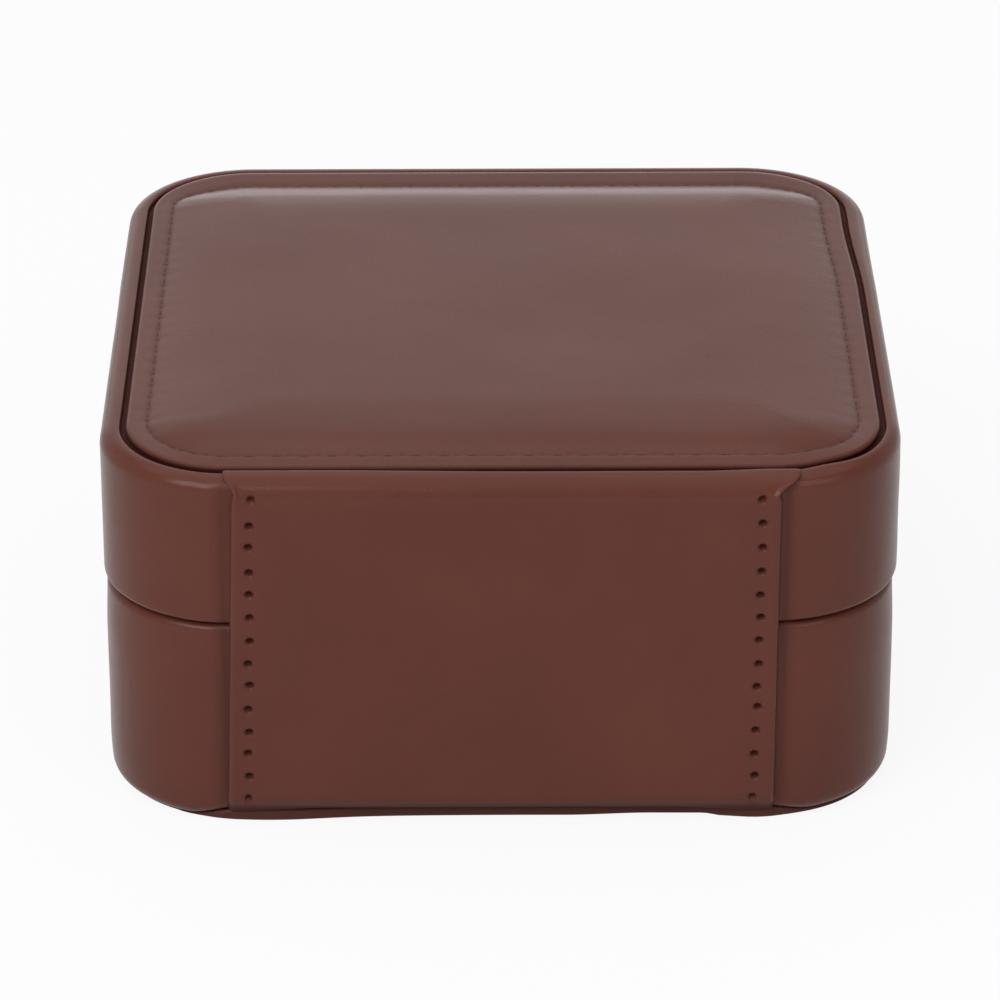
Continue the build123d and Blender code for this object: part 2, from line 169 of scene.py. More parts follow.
def raised(flat, level):
    """Flat points with their level as a third part."""
    return np.concatenate([flat, np.broadcast_to(level, flat.shape[:-1])[..., None]], -1)


def on_loop(values, around, places):
    """Values at places round a closed loop, from rows of values at distances around it."""
    closed = np.concatenate([values, values[:1]])
    return np.stack([np.interp(places, around, column) for column in closed.T], -1)


class Outline:
    """A rounded square, walked anticlockwise from where its +X side meets the corner towards +Y.

    Each stop has a centre, on the square of the corners' centres, and an outward direction. A point
    at some inset lies (corner radius - inset) out from the centre along that direction.
    """

    def __init__(self, half, radius, straight_steps, corner_steps):
        room = half - radius
        centres, outwards = [], []
        for quarter in range(4):
            start = quarter * pi / 2
            here = np.array([cos(start + pi / 4), sin(start + pi / 4)]) * room * 2**0.5
            after = np.array([cos(start + 3 * pi / 4), sin(start + 3 * pi / 4)]) * room * 2**0.5
            turn = start + np.linspace(0, pi / 2, corner_steps, endpoint=False)
            share = np.linspace(0, 1, straight_steps, endpoint=False)[:, None]
            centres += [np.tile(here, (corner_steps, 1)), here + share * (after - here)]
            sideways = [cos(start + pi / 2), sin(start + pi / 2)]
            outwards += [joined(np.cos(turn), np.sin(turn)), np.tile(sideways, (straight_steps, 1))]
        self.radius = radius
        self.centres = np.concatenate(centres)
        self.outwards = np.concatenate(outwards)

    def ring(self, inset):
        """The outline's points at an inset, of which each may have its own."""
        reach = (self.radius - np.asarray(inset, float))[..., None]
        return self.centres + reach * self.outwards

    def lengths(self, inset):
        """How far along the outline each point at that inset lies, and the whole way round."""
        points = self.ring(inset)
        steps = np.linalg.norm(np.roll(points, -1, axis=0) - points, axis=1)
        return np.concatenate([[0], np.cumsum(steps)[:-1]]), steps.sum()


# Meshes


def grid_mesh(name, points, wrap_rows=False, caps=False, uv=None):
    """A mesh over a grid of points in millimetres, of shape rows x columns x 3.

    Neighbours in a row and in a column make the quads, and each row is closed. With caps, the first
    and the last row are each closed with a fan round their middle. uv holds a pair for each point.
    """
    rows, columns = points.shape[:2]
    index = np.arange(rows * columns).reshape(rows, columns)
    beside = np.roll(index, -1, axis=1)
    quads = np.stack([index, beside, np.roll(beside, -1, axis=0), np.roll(index, -1, axis=0)], -1)
    faces = (quads if wrap_rows else quads[:-1]).reshape(-1, 4).tolist()
    places = points.reshape(-1, 3)
    if caps:
        places = np.concatenate([places, [points[0].mean(0), points[-1].mean(0)]])
        first, last = rows * columns, rows * columns + 1
        faces += np.stack([index[0], np.full(columns, first), beside[0]], -1).tolist()
        faces += np.stack([index[-1], beside[-1], np.full(columns, last)], -1).tolist()
    mesh = bpy.data.meshes.new(name)
    mesh.from_pydata((places * MM).tolist(), [], faces)
    if uv is not None:
        write_map(mesh, uv.reshape(-1, 2))
    return mesh


def write_map(mesh, flat):
    """Gives a mesh its own map, from a pair for each of its points."""
    corner_points = np.empty(len(mesh.loops), int)
    mesh.loops.foreach_get("vertex_index", corner_points)
    layer = mesh.uv_layers.new(name="Along")
    layer.data.foreach_set("uv", flat[corner_points].ravel().astype(np.float32))


def write_share(mesh, name, values):
    """Gives each point of a mesh a share from 0 to 1, which its finish reads by name."""
    share = mesh.attributes.new(name=name, type="FLOAT", domain="POINT")
    share.data.foreach_set("value", np.asarray(values, np.float32).ravel())


def sheet_mesh(name, surface, thickness, uv):
    """A sheet about a surface (rows x columns x 3): its two faces, and a rim round its four edges."""
    rows, columns = surface.shape[:2]
    normal = np.cross(np.gradient(surface, axis=1), np.gradient(surface, axis=0))
    normal /= np.linalg.norm(normal, axis=-1)[..., None]
    half = normal * (thickness / 2)
    count = rows * columns
    index = np.arange(count).reshape(rows, columns)
    quads = np.stack([index[:-1, :-1], index[:-1, 1:], index[1:, 1:], index[1:, :-1]], -1).reshape(-1, 4)
    edge = np.concatenate([index[0], index[1:, -1], index[-1, -2::-1], index[-2:0:-1, 0]])
    after = np.roll(edge, -1)
    rim = np.stack([edge, after, after + count, edge + count], -1)
    faces = np.concatenate([quads, quads[:, ::-1] + count, rim])
    places = np.concatenate([(surface + half).reshape(-1, 3), (surface - half).reshape(-1, 3)])
    mesh = bpy.data.meshes.new(name)
    mesh.from_pydata((places * MM).tolist(), [], faces.tolist())
    write_map(mesh, np.tile(uv.reshape(-1, 2), (2, 1)))
    return mesh


def piece(name, mesh, body, finish, slot, replaced=(), sharp=None):
    """Finishes a mesh, gives it its body and its finish, and hides the frame's nodes that it stands for.
    """
    cleaner = bmesh.new()
    cleaner.from_mesh(mesh)
    bmesh.ops.remove_doubles(cleaner, verts=cleaner.verts, dist=SAME_PLACE)
    bmesh.ops.recalc_face_normals(cleaner, faces=cleaner.faces)
    cleaner.to_mesh(mesh)
    cleaner.free()
    mesh.polygons.foreach_set("use_smooth", np.ones(len(mesh.polygons), bool))
    if sharp:
        mesh.set_sharp_from_angle(angle=radians(sharp))
    mesh.materials.append(finish)
    made = bpy.data.objects.new(name, mesh)
    bpy.context.scene.collection.objects.link(made)
    if body:
        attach(made, body)
    if replaced:
        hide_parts(*replaced)
    return made


def many(shape, places, along, across, up):
    """Copies of a small shape (points x 3) at each place, its axes turned along, across and up."""
    turned = (
        shape[None, :, 0, None] * along[:, None, :]
        + shape[None, :, 1, None] * across[:, None, :]
        + shape[None, :, 2, None] * up[:, None, :]
    )
    return places[:, None, :] + turned


def stitches(name, places, along, up, length, thickness, sunk):
    """Thread stitches as arched sausages: an ellipse whose size follows (1 - t^4)^(1/2), bowed upwards.

    t runs from one end of a stitch to the other, nearly from -1 to 1. places are the middles of the
    stitches in millimetres, along their run, and up their outward side.
    """
    rings, sides, closed_end = 9, 8, 0.985
    t = np.linspace(-closed_end, closed_end, rings)[:, None]
    size = thickness / 2 * (1 - t**4) ** 0.5
    turn = np.linspace(0, 2 * pi, sides, endpoint=False)
    bow = thickness * (0.42 - 0.62 * t**2) - sunk
    lengthwise = t * length / 2
    shape = joined(lengthwise, size * np.cos(turn), bow + 0.8 * size * np.sin(turn)).reshape(-1, 3)
    points = many(shape, places, along, np.cross(up, along), up)
    index = np.arange(rings * sides).reshape(rings, sides)
    around = np.roll(index, -1, axis=1)
    quads = np.stack([index[:-1], around[:-1], around[1:], index[1:]], -1).reshape(-1, 4)
    copies = np.arange(len(places))[:, None, None] * rings * sides
    faces = (quads[None] + copies).reshape(-1, 4).tolist()
    for end in (index[0][::-1], index[-1]):
        faces += (end[None] + copies[:, 0]).tolist()
    mesh = bpy.data.meshes.new(name)
    mesh.from_pydata((points.reshape(-1, 3) * MM).tolist(), [], faces)
    flat = joined(lengthwise, turn / (2 * pi))
    write_map(mesh, np.tile(flat.reshape(-1, 2), (len(places), 1)))
    return mesh


# Finishes


class Value:
    """An output of a shader node, on which +, - and * write Math nodes."""

    def __init__(self, finish, socket):
        self.finish, self.socket = finish, socket

    def _maths(self, operation, first, second):
        return self.finish.node("ShaderNodeMath", {0: first, 1: second}, operation=operation)

    def __add__(self, other):
        return self._maths("ADD", self, other)

    def __radd__(self, other):
        return self._maths("ADD", other, self)

    def __sub__(self, other):
        return self._maths("SUBTRACT", self, other)

    def __rsub__(self, other):
        return self._maths("SUBTRACT", other, self)

    def __mul__(self, other):
        return self._maths("MULTIPLY", self, other)

    def __rmul__(self, other):
        return self._maths("MULTIPLY", other, self)


class Finish:
    """A material, or the world, whose nodes come from one method."""

    def __init__(self, name, world=None):
        self.material = world or bpy.data.materials.new(name)
        self.material.use_nodes = True
        self.tree = self.material.node_tree
        self.tree.nodes.clear()

    def node(self, kind, values=(), output=0, stops=None, **settings):
        """Adds a node: its settings and ramp stops first, then the values or links of its inputs."""
        made = self.tree.nodes.new(kind)
        for setting, value in settings.items():
            setattr(made, setting, value)
        if stops:
            ramp = made.color_ramp.elements
            while len(ramp) < len(stops):
                ramp.new(0.5)
            for element, (place, colour) in zip(ramp, stops):
                element.position, element.color = place, colour
        for key, value in dict(values).items():
            if isinstance(value, Value):
                self.tree.links.new(value.socket, made.inputs[key])
            else:
                made.inputs[key].default_value = value
        return Value(self, made.outputs[output]) if made.outputs else None

    def place(self):
        """Object coordinates."""
        return self.node("ShaderNodeTexCoord", output=3)

    def noise(self, size, detail=2.0, roughness=0.5, vector=None):
        """Noise from 0 to 1 whose blotches are about as large as the size, in millimetres."""
        values = {"Vector": vector or self.place(), "Scale": 0.6 / (size * MM), "Detail": detail}
        return self.node("ShaderNodeTexNoise", {**values, "Roughness": roughness})

    def mix(self, share, first, second):
        """A colour between two."""
        return self.node("ShaderNodeMix", {0: share, 6: first, 7: second}, output=2, data_type="RGBA")

    def sine(self, value):
        """The sine of a number."""
        return self.node("ShaderNodeMath", {0: value}, operation="SINE")

    def part(self, vector, axis):
        """One of a vector's three parts."""
        return self.node("ShaderNodeSeparateXYZ", {0: vector}, output=axis)

    def ramp(self, value, *stops):
        """Turns a number into a grey or a colour."""
        return self.node("ShaderNodeValToRGB", {"Fac": value}, stops=stops)

    def bump(self, height, depth, strength=1.0, below=None):
        """A normal from a height of 0 to 1, whose full depth is given in millimetres."""
        values = {"Height": height, "Distance": depth * MM, "Strength": strength}
        if below:
            values["Normal"] = below
        return self.node("ShaderNodeBump", values)

    def done(self, **values):
        """The Principled shader, with inputs by name, where _ stands for a space."""
        inputs = {key.replace("_", " "): value for key, value in values.items()}
        shader = self.node("ShaderNodeBsdfPrincipled", inputs)
        self.node_out(shader)
        return self.material

    def node_out(self, shader):
        """Links a shader to the material's output."""
        self.node("ShaderNodeOutputMaterial", {"Surface": shader})


def grey(level):
    """A grey of that linear level."""
    return (level, level, level, 1)


PORE = 0.42  # between the leather's pores, in millimetres
TWIST = 2.6  # plies that pass in a millimetre of thread
RIB = 0.8  # between the elastic's ribs, in millimetres
# painted shade: where it is painted, each channel of the leather's colour keeps this share
PAINTED_SHADE_TINT = np.array((0.42, 0.24, 0.24))  # the share of each channel that is left in a hole or crevice


def shade(colour, share=1.0):
    """A colour at some share of its brightness, or of each of its channels."""
    return (*(share * np.array(colour)), 1)


def leather(name, colour, roughness):
    """Smooth coated leather: fine pores over a slow swell, a little uneven in colour and gloss.

    Shade is painted into its colour, and its gloss is duller, by the mesh's own share of painted shade:
    in needle holes, crevices and grooves, along the hinge leather's cut edges and low by the foot.
    """
    finish = Finish(name)
    # the mesh's own share of painted shade, which darkens the colour and dulls the gloss
    hole = finish.node("ShaderNodeAttribute", output=2, attribute_name="PaintedShade")
    dim, bright = (0.3, shade(colour, 0.92)), (0.72, shade(colour, 1.07))
    blotches = finish.ramp(finish.noise(12.0, 3.0), dim, bright)
    speckle = finish.noise(0.5)
    speckled = finish.mix(0.10 * speckle, blotches, shade(colour, 0.55))
    base = finish.mix(hole, speckled, shade(colour, PAINTED_SHADE_TINT))
    pores = finish.node("ShaderNodeTexVoronoi", {"Vector": finish.place(), "Scale": 1 / (PORE * MM)})
    swell = finish.bump(finish.noise(3.2), 0.012)
    fine = finish.bump(pores + 0.6 * finish.noise(0.22), 0.01, below=swell)
    gloss = roughness - 0.03 + 0.06 * finish.noise(4.0, 3.0) + 0.03 * speckle + 0.55 * hole
    return finish.done(Base_Color=base, Roughness=gloss, Normal=fine, IOR=1.27)


def velvet(name, colour):
    """Short-pile velvet: a brushed, blotchy tone with fine pile bumps and a soft sheen."""
    finish = Finish(name)
    brushed = finish.noise(5.0, 3.0, 0.6)
    pile = finish.noise(0.28, 3.0, 0.7)
    tone = 0.55 * brushed + 0.45 * pile
    base = finish.ramp(tone, (0.34, shade(colour, 0.72)), (0.66, shade(colour, 1.2)))
    normal = finish.bump(pile, 0.09, 0.8, finish.bump(brushed, 0.12))
    sheen = {"Sheen_Weight": 0.55, "Sheen_Roughness": 0.35, "Specular_IOR_Level": 0.2}
    return finish.done(Base_Color=base, Roughness=0.9, Normal=normal, **sheen)


def thread(name, colour):
    """Three-ply thread: slanting stripes along the stitch, from the piece's own map."""
    finish = Finish(name)
    own_map = finish.node("ShaderNodeUVMap", uv_map="Along")
    along, around = finish.part(own_map, 0), finish.part(own_map, 1)
    ply = 0.5 + 0.5 * finish.sine((along * TWIST + around) * (2 * pi))
    base = finish.mix(ply, shade(colour, 0.62), shade(colour))
    normal = finish.bump(ply, 0.06)
    return finish.done(Base_Color=base, Roughness=0.7, Normal=normal, Specular_IOR_Level=0.25)


def board(name, colour):
    """Raw fibreboard: a mottled, matt surface."""
    finish = Finish(name)
    fibres = finish.noise(0.8, 4.0, 0.7)
    base = finish.ramp(fibres, (0.3, shade(colour, 0.8)), (0.7, shade(colour, 1.1)))
    return finish.done(Base_Color=base, Roughness=0.9, Normal=finish.bump(fibres, 0.08))


def metal(name, colour, roughness):
    """Plated metal: faint cloudy wear in its gloss and tone."""
    finish = Finish(name)
    cloud = finish.noise(1.6, 4.0, 0.6)
    scratches = finish.noise(0.25)
    base = finish.mix(cloud, shade(colour, 0.7), shade(colour))
    gloss = roughness + 0.08 * cloud + 0.05 * scratches
    normal = finish.bump(scratches, 0.004)
    return finish.done(Base_Color=base, Metallic=1.0, Roughness=gloss, Normal=normal)


def elastic(name, colour):
    """Ribbed elastic: narrow ribs across the band, from its own map."""
    finish = Finish(name)
    across = finish.part(finish.node("ShaderNodeUVMap", uv_map="Along"), 1)
    rib = 0.5 + 0.5 * finish.sine(across * (2 * pi / RIB))
    base = finish.mix(rib, shade(colour, 0.6), shade(colour))
    fine = finish.bump(finish.noise(0.2), 0.03, below=finish.bump(rib, 0.12))
    return finish.done(Base_Color=base, Roughness=0.7, Normal=fine, Sheen_Weight=0.3)


BROWN = (0.108, 0.0315, 0.021)
TAN = (0.36, 0.25, 0.165)
LEATHER = leather("BrownLeather", BROWN, 0.22)
# a darker copy of the leather, as painted shade, for the card under the foot
SHADED_LEATHER = leather("ShadedTurnedLeather", 0.7 * np.array(BROWN), 0.45)
VELVET = velvet("TanVelvet", TAN)
POCKET_VELVET = velvet("PocketVelvet", 0.92 * np.array(TAN))
THREAD = thread("BrownThread", (0.085, 0.03, 0.022))
BOARD = board("Fibreboard", (0.3, 0.25, 0.19))
SNAP_BRASS = metal("AntiqueBrass", (0.5, 0.36, 0.18), 0.3)
HOOK_BRASS = metal("BrightBrass", (0.78, 0.57, 0.27), 0.16)
ELASTIC = elastic("DarkElastic", (0.07, 0.035, 0.026))


# Leather bands round the lid and the base

HINGE_LEAN = 0.75  # how far the hinge leather drifts sideways from the foot to the rim
BESIDE_DIP = 0.25  # how deep the bands dip beside it
# painted shade on the bands beside the hinge leather, as a share
BESIDE_PAINTED_SHADE = 0.5  # and how dark they are there
CREASE_FLOOR = 0.08  # the leather's thickness on the crease's floor
CREASE_BEND = (0.12, 0.15)  # how far in and up the leather bends on to that floor
CREASE_DRIFT = 0.8  # how much further out the crease runs along the -X side
CREASE_CLOSED = 0.5  # how much narrower it is next to the hinge leather's -X corner
FACE_DRIFT = 0.12  # how much further out the lid's face stands on the -X side
FOOT_SETTLES = 1.1  # the leather lies this much lower round the foot than beside the hinge leather
FOOT_TILT = 0.2  # the share by which that is more at +X and less at -X


def band(name, outline, profile, slack, seed, painted_shade=0.0, flare=0.0, drift=0.0, sink=0.0):
    """Carries a closed profile of (inset, level) round the outline, with a slow unevenness outside.

    The unevenness fades as the profile turns in from its face, because there the leather is glued.
    Beside the hinge leather the face dips and shade is painted on it, as two bells one over the other.
    The painted shade share holds how much shade is painted on each point of the profile, and flare how
    far it stands out. drift moves points out from their inset and sink down from their level, by their
    place round the outline.
    """
    inset, level = profile.T[..., None]
    points = raised(outline.ring(inset - drift), level - sink)
    face = smooth(1 - (inset - inset.min()) / SKIN)
    swell = slack * face * unevenness(points, 34.0, seed)
    swell += 0.4 * slack * face * unevenness(points, 11.0, seed + 1) + flare * face
    gap = np.abs(points[..., 0] + HINGE_LEAN * (level - FOOT) / RIM) - HINGE_HALF
    # painted shade beside the hinge leather, where the face also dips
    beside = (0.7 * bell(gap - 0.6, 0.5) + 0.3 * bell(gap - 1, 0.9)) * face * (points[..., 1] > 0)
    swell -= BESIDE_DIP * beside
    points[..., :2] += swell[..., None] * outline.outwards
    mesh = grid_mesh(name, points, wrap_rows=True, uv=joined(outline.lengths(0.0)[0], level))
    write_share(mesh, "PaintedShade", np.maximum(BESIDE_PAINTED_SHADE * beside, painted_shade))
    return mesh


def turned_edge(face, seam, way):
    """A band's profile from its turned-in edge, round the seam, to its face; way is 1 up and -1 down."""
    inner = face + SKIN + WALL + TURNED_SKIN
    start, bend = (inner, seam + way * TURN_IN), (inner, seam + way * INNER_ROUND)
    outer = (face + SEAM_ROUND, seam + way * SEAM_ROUND)
    return path(
        start,
        run(start, bend, 4),
        arc((inner - INNER_ROUND, bend[1]), INNER_ROUND, 0, -90 * way, 6),
        arc(outer, SEAM_ROUND, -90 * way, -180 * way, 9),
    )


def glued_edge(face, seam, way):
    """The glued side of the same edge, walked back from the face."""
    lining = face + SKIN + WALL
    return path(
        (face + SKIN, seam + way * SEAM_ROUND),
        (face + SEAM_ROUND, seam + way * SKIN),
        (lining, seam + way * SKIN),
        (lining, seam + way * TURN_IN),
    )


def on_minus_x(outline):
    """One along the outline's -X side and nought past its corners, eased between."""
    return smooth((-outline.outwards[:, 0] - 0.45) / 0.4)


def crease_drift(outline):
    """How much further out the crease runs: along the -X side, and less of it towards the front."""
    towards_front = smooth((-outline.centres[:, 1] - 6) / 22)
    return CREASE_DRIFT * on_minus_x(outline) * (1 - 0.9 * towards_front)


def lid_leather():
    """The lid's leather: turned in at the seam, up the side, over the rim and down the crease.

    Its rim follows the crease, and its face stands out a little on the -X side.
    """
    bottom, top = LID_BOTTOM, RIM
    floor = top - CREASE_DEPTH
    past_panel = PANEL_SKIRT + 0.2
    profile = path(
        turned_edge(0.0, bottom, 1),
        run((0, bottom + SEAM_ROUND), (0, top - RIM_ROUND), 22),
        arc((RIM_ROUND, top - RIM_ROUND), RIM_ROUND, 180, 90, 13),
        arc((RIM_EDGE - CREASE_ROUND, top - CREASE_ROUND), CREASE_ROUND, 90, 0, 7),
        (RIM_EDGE, floor + CREASE_BEND[1]),
        (RIM_EDGE + CREASE_BEND[0], floor),
        (past_panel, floor),
        (past_panel, floor - CREASE_FLOOR),
        (RIM_EDGE, floor - CREASE_FLOOR),
        (RIM_ROUND, top - SKIN),
        (SKIN, top - RIM_ROUND),
        glued_edge(0.0, bottom, 1),
    )
    outline = Outline(HALF, CORNER, 60, 30)
    inset, level = profile.T[..., None]
    in_crease = (inset > RIM_EDGE - 0.1) * (level > floor - 1)
    # painted shade down in the crease between the rim and the padded panel
    painted_shade = 0.75 * smooth((top - 0.15 - level) / 0.35) * in_crease
    on_rim = smooth((level - top + 3) / 1.5) * np.clip(inset / RIM_EDGE, 0, 1)
    towards_x, towards_y = outline.outwards.T
    closed = CREASE_CLOSED * bell(towards_x + 0.42, 0.2) * (towards_y > 0)
    drift = on_rim * (crease_drift(outline) - closed) + FACE_DRIFT * (1 - on_rim) * on_minus_x(outline)
    mesh = band("LidLeather", outline, profile, 0.055, 3, painted_shade, drift=drift)
    piece("LidLeather", mesh, "lid", LEATHER, "outer_leather", ["lid_side_wrap"], 60)


def foot_settled(stops):
    """How much lower the foot lies at each stop: nought across the hinge leather, full 7 mm past it."""
    across, depth = stops.T
    beyond = np.where(depth > 0, np.abs(across) - HINGE_HALF + 1, HALF)
    return FOOT_SETTLES * smooth(beyond / 7) * (1 + FOOT_TILT * across / HALF)


def base_leather():
    """The base's leather: turned in at the seam, down the side and under the foot.

    It flares a little just under the seam.
    """
    face, top, bottom = OVERHANG, BASE_TOP, FOOT
    foot_round, under = face + FOOT_ROUND, face + TURN_UNDER
    profile = path(
        turned_edge(face, top, -1),
        run((face, top - SEAM_ROUND), (face, bottom + FOOT_ROUND), 24),
        arc((foot_round, bottom + FOOT_ROUND), FOOT_ROUND, 180, 270, 11),
        run((foot_round, bottom), (under, bottom), 3),
        (under, bottom),
        (under, bottom + SKIN),
        (foot_round, bottom + SKIN),
        (face + SKIN, bottom + FOOT_ROUND),
        glued_edge(face, top, -1),
    )
    outline = Outline(HALF, CORNER, 60, 30)
    height = profile[:, 1][:, None]
    flare = 0.22 * smooth((top - height) / 7) * smooth((height - bottom) / 4)
    sink = smooth(1 - (height - bottom) / 5) * foot_settled(outline.ring(0.0))
    mesh = band("BaseLeather", outline, profile, 0.05, 11, flare=flare, sink=sink)
    piece("BaseLeather", mesh, "base", LEATHER, "outer_leather", ["base_side_wrap"], 60)


# Padded top panel

PAD_EDGE = 0.5
PAD_EDGE_TOP = 0.4  # the top of the rounded edge, over the rim
BORDER_RISE = -0.02  # from there to the stitches
BORDER_TILT = 0.2  # how much more it rises on the +Y side, and less on the -Y side
CROWN = ((1.1, 15.0), (0.28, 6.0))  # rises from the stitches, each over its reach
INNER_START = 11.0  # from the edge, where the panel's rings start to shrink towards its middle
CHANNEL_DEPTH = 0.04  # how far the stitches pull down
CHANNEL_TILT = 0.02  # how much less on the +Y side, and more on the -Y side
HOLE_RADIUS = 0.3
HOLE_DEPTH = 0.05
PUCKER = 0.006  # how high it puckers midway between two holes


def pad_height(distance, facing):
    """Height over the rim at a distance in from the panel's edge, where it faces a share of +Y.

    A quarter circle up the rounded edge, an even slope to the stitches, a shallow channel where they
    pull down, and a crown whose two parts rise as 1 - (1 - t)^2 over their reach.
    """
    height = PAD_EDGE_TOP + PAD_EDGE * (rounded(distance / PAD_EDGE) - 1)
    border = np.clip((distance - PAD_EDGE) / (STITCH_INSET - PAD_EDGE), 0, 1)
    border = border * (1 - smooth((distance - STITCH_INSET) / 12))
    height = height + border * (BORDER_RISE + BORDER_TILT * facing)
    for rise, reach in CROWN:
        height = height + rise * (1 - (1 - np.clip((distance - STITCH_INSET) / reach, 0, 1)) ** 2)
    return height - (CHANNEL_DEPTH - CHANNEL_TILT * facing) * bell(distance - STITCH_INSET, 0.5)


def stitch_line(outline, inset, count):
    """Places and outward directions of evenly spaced stops along an outline at an inset."""
    along, whole = outline.lengths(inset)
    middles = (np.arange(count) + 0.5) * whole / count
    around = np.append(along, whole)
    facing = on_loop(outline.outwards, around, middles)
    return on_loop(outline.ring(inset), around, middles), facing / np.linalg.norm(facing, axis=1)[:, None]


def top_panel():
    """The padded cover, dimpled at every needle hole and puckered between them, and its stitches.

    Rings step in from the panel's edge. Past INNER_START they shrink towards the middle instead.
    Along the -Y side the stitches, and the rings with them, are drawn in further.
    """
    outline = Outline(HALF, CORNER, 268, 60)
    edge = RIM_EDGE + CREASE - crease_drift(outline)
    facing = outline.outwards[:, 1]
    drawn_in = STITCH_DRAWN_IN * smooth((-facing - 0.2) / 0.8)
    seam = edge + STITCH_INSET + drawn_in
    along, whole = outline.lengths(seam)
    count = 4 * round(whole / STITCH_PITCH / 4)
    pitch = whole / count
    offset = (along / pitch + 0.5) % 1 - 0.5  # 0 at a hole, a half midway between two
    reach = HALF - RIM_EDGE - CREASE
    distances = np.concatenate([
        quarter(PAD_EDGE, 8)[0],
        np.linspace(PAD_EDGE + 0.3, 1.9, 5),
        np.linspace(2.02, 3.2, 13),
        np.linspace(3.4, INNER_START, 18),
        np.linspace(INNER_START + 1, reach - 1.0, 22),
    ])[:, None]
    shrink = (reach - np.maximum(distances, INNER_START)) / (reach - INNER_START)
    held = np.minimum(distances, INNER_START)
    drawn = np.interp(held, (0, STITCH_INSET, INNER_START), (0, 1, 0)) * drawn_in
    flat = outline.ring(edge + held + drawn) * shrink[..., None]
    from_line = distances - STITCH_INSET
    hole = bell(np.hypot(from_line, offset * pitch), HOLE_RADIUS)
    pucker = np.cos(2 * pi * offset) * (bell(from_line - 1.1, 1.1) + bell(from_line + 0.9, 0.7))
    level = RIM + pad_height(distances, facing) - HOLE_DEPTH * hole - PUCKER * pucker
    swell = 0.05 * unevenness(flat, 40.0, 21) + 0.008 * unevenness(flat, 12.0, 22)
    points = raised(flat, level + smooth((distances - 3.5) / 6) * swell)
    skirt_levels = np.linspace(PANEL_BOTTOM, RIM - CREASE_DEPTH - 0.4, 4)
    skirt = np.stack([raised(outline.ring(PANEL_SKIRT), height) for height in skirt_levels])
    mesh = grid_mesh("TopCover", np.concatenate([skirt, points]), caps=True)
    # painted shade: in the crevice at the panel's edge, along the stitch channel (most at the left and
    # right), a little in the needle holes, and over the whole skirt
    painted_crevice_shade = 0.75 * smooth(1.1 - distances / (0.45 * PAD_EDGE))
    channel = (0.06 + 0.28 * np.abs(outline.outwards[:, 0])) * bell(from_line, 0.55)
    painted_shade = np.concatenate([np.ones((len(skirt), len(along))), np.maximum(channel + 0.2 * hole, painted_crevice_shade)])
    write_share(mesh, "PaintedShade", np.append(painted_shade, [0, 0]))
    nodes = ["top_panel_cover", "top_panel_foam"]
    cover = piece("TopCover", mesh, "lid", LEATHER, "outer_leather", nodes, 70)
    top_stitches(outline, seam, count, pitch)


def top_stitches(outline, seam, count, pitch):
    """The thread between the top panel's holes, along its seam."""
    places, facing = stitch_line(outline, seam, count)
    places = raised(places, RIM + pad_height(STITCH_INSET, facing[:, 1]))
    run_along = joined(-facing[:, 1], facing[:, 0], 0)
    up = np.tile([0.0, 0.0, 1.0], (count, 1))
    mesh = stitches("TopStitches", places, run_along, up, 0.76 * pitch, 0.24, 0.14)
    piece("TopStitches", mesh, "lid", THREAD, "outer_leather")


# Hinge leather

HINGE_OVER_RIM = 0.12
HINGE_LIFTS = (0.25, 0.24)  # how much higher it lies over the rim at its +X and its -X end
HINGE_IN_CREASE = 0.1
HINGE_TUCK = 1.0  # how deep it reaches into the groove
HINGE_UNDER = 9.0  # and how far under the foot
HINGE_BEND = 3.0
HINGE_STEPS = 260  # stops down the back
HINGE_SPREAD = 0.55  # how much wider each half is at the foot
HINGE_FLARE = 1.0  # and where it goes over the rim
HINGE_WAIST = 0.25  # how much narrower it is just under that
HINGE_EDGE = 0.75  # how far in its edge is rounded
HINGE_EDGE_SHARE = 0.12  # and what is left of its thickness there
HINGE_PUFF = 0.2  # how far its edges puff out and up under the rim
HINGE_DROOP = 0.6  # how low its corners hang under the foot
HINGE_PULL = 1.2  # how far its -X corner is pulled outwards at the rim
HINGE_STITCH_TOP = 2.2  # from the sheet's edge to its stitches, at the rim and at the foot
HINGE_STITCH_FOOT = 2.75
HINGE_PITCH = 3.2
HINGE_HOLES = 14
HINGE_HOLE = 0.34
HINGE_FIRST = (2.45, 2.3)  # from the rim to the first hole of the -X and of the +X row
HOLE_SWAY = (0.12, 0.2)  # how far a hole is off its place, sideways and up or down
HINGE_HOLE_DEPTH = 0.7
HINGE_CHANNEL = 0.08  # how deep it lies along its stitches
HINGE_BEAD = 0.02  # and how far it stands out along its edges
HINGE_FOLD = 1.6  # how far it bends under and over the seam


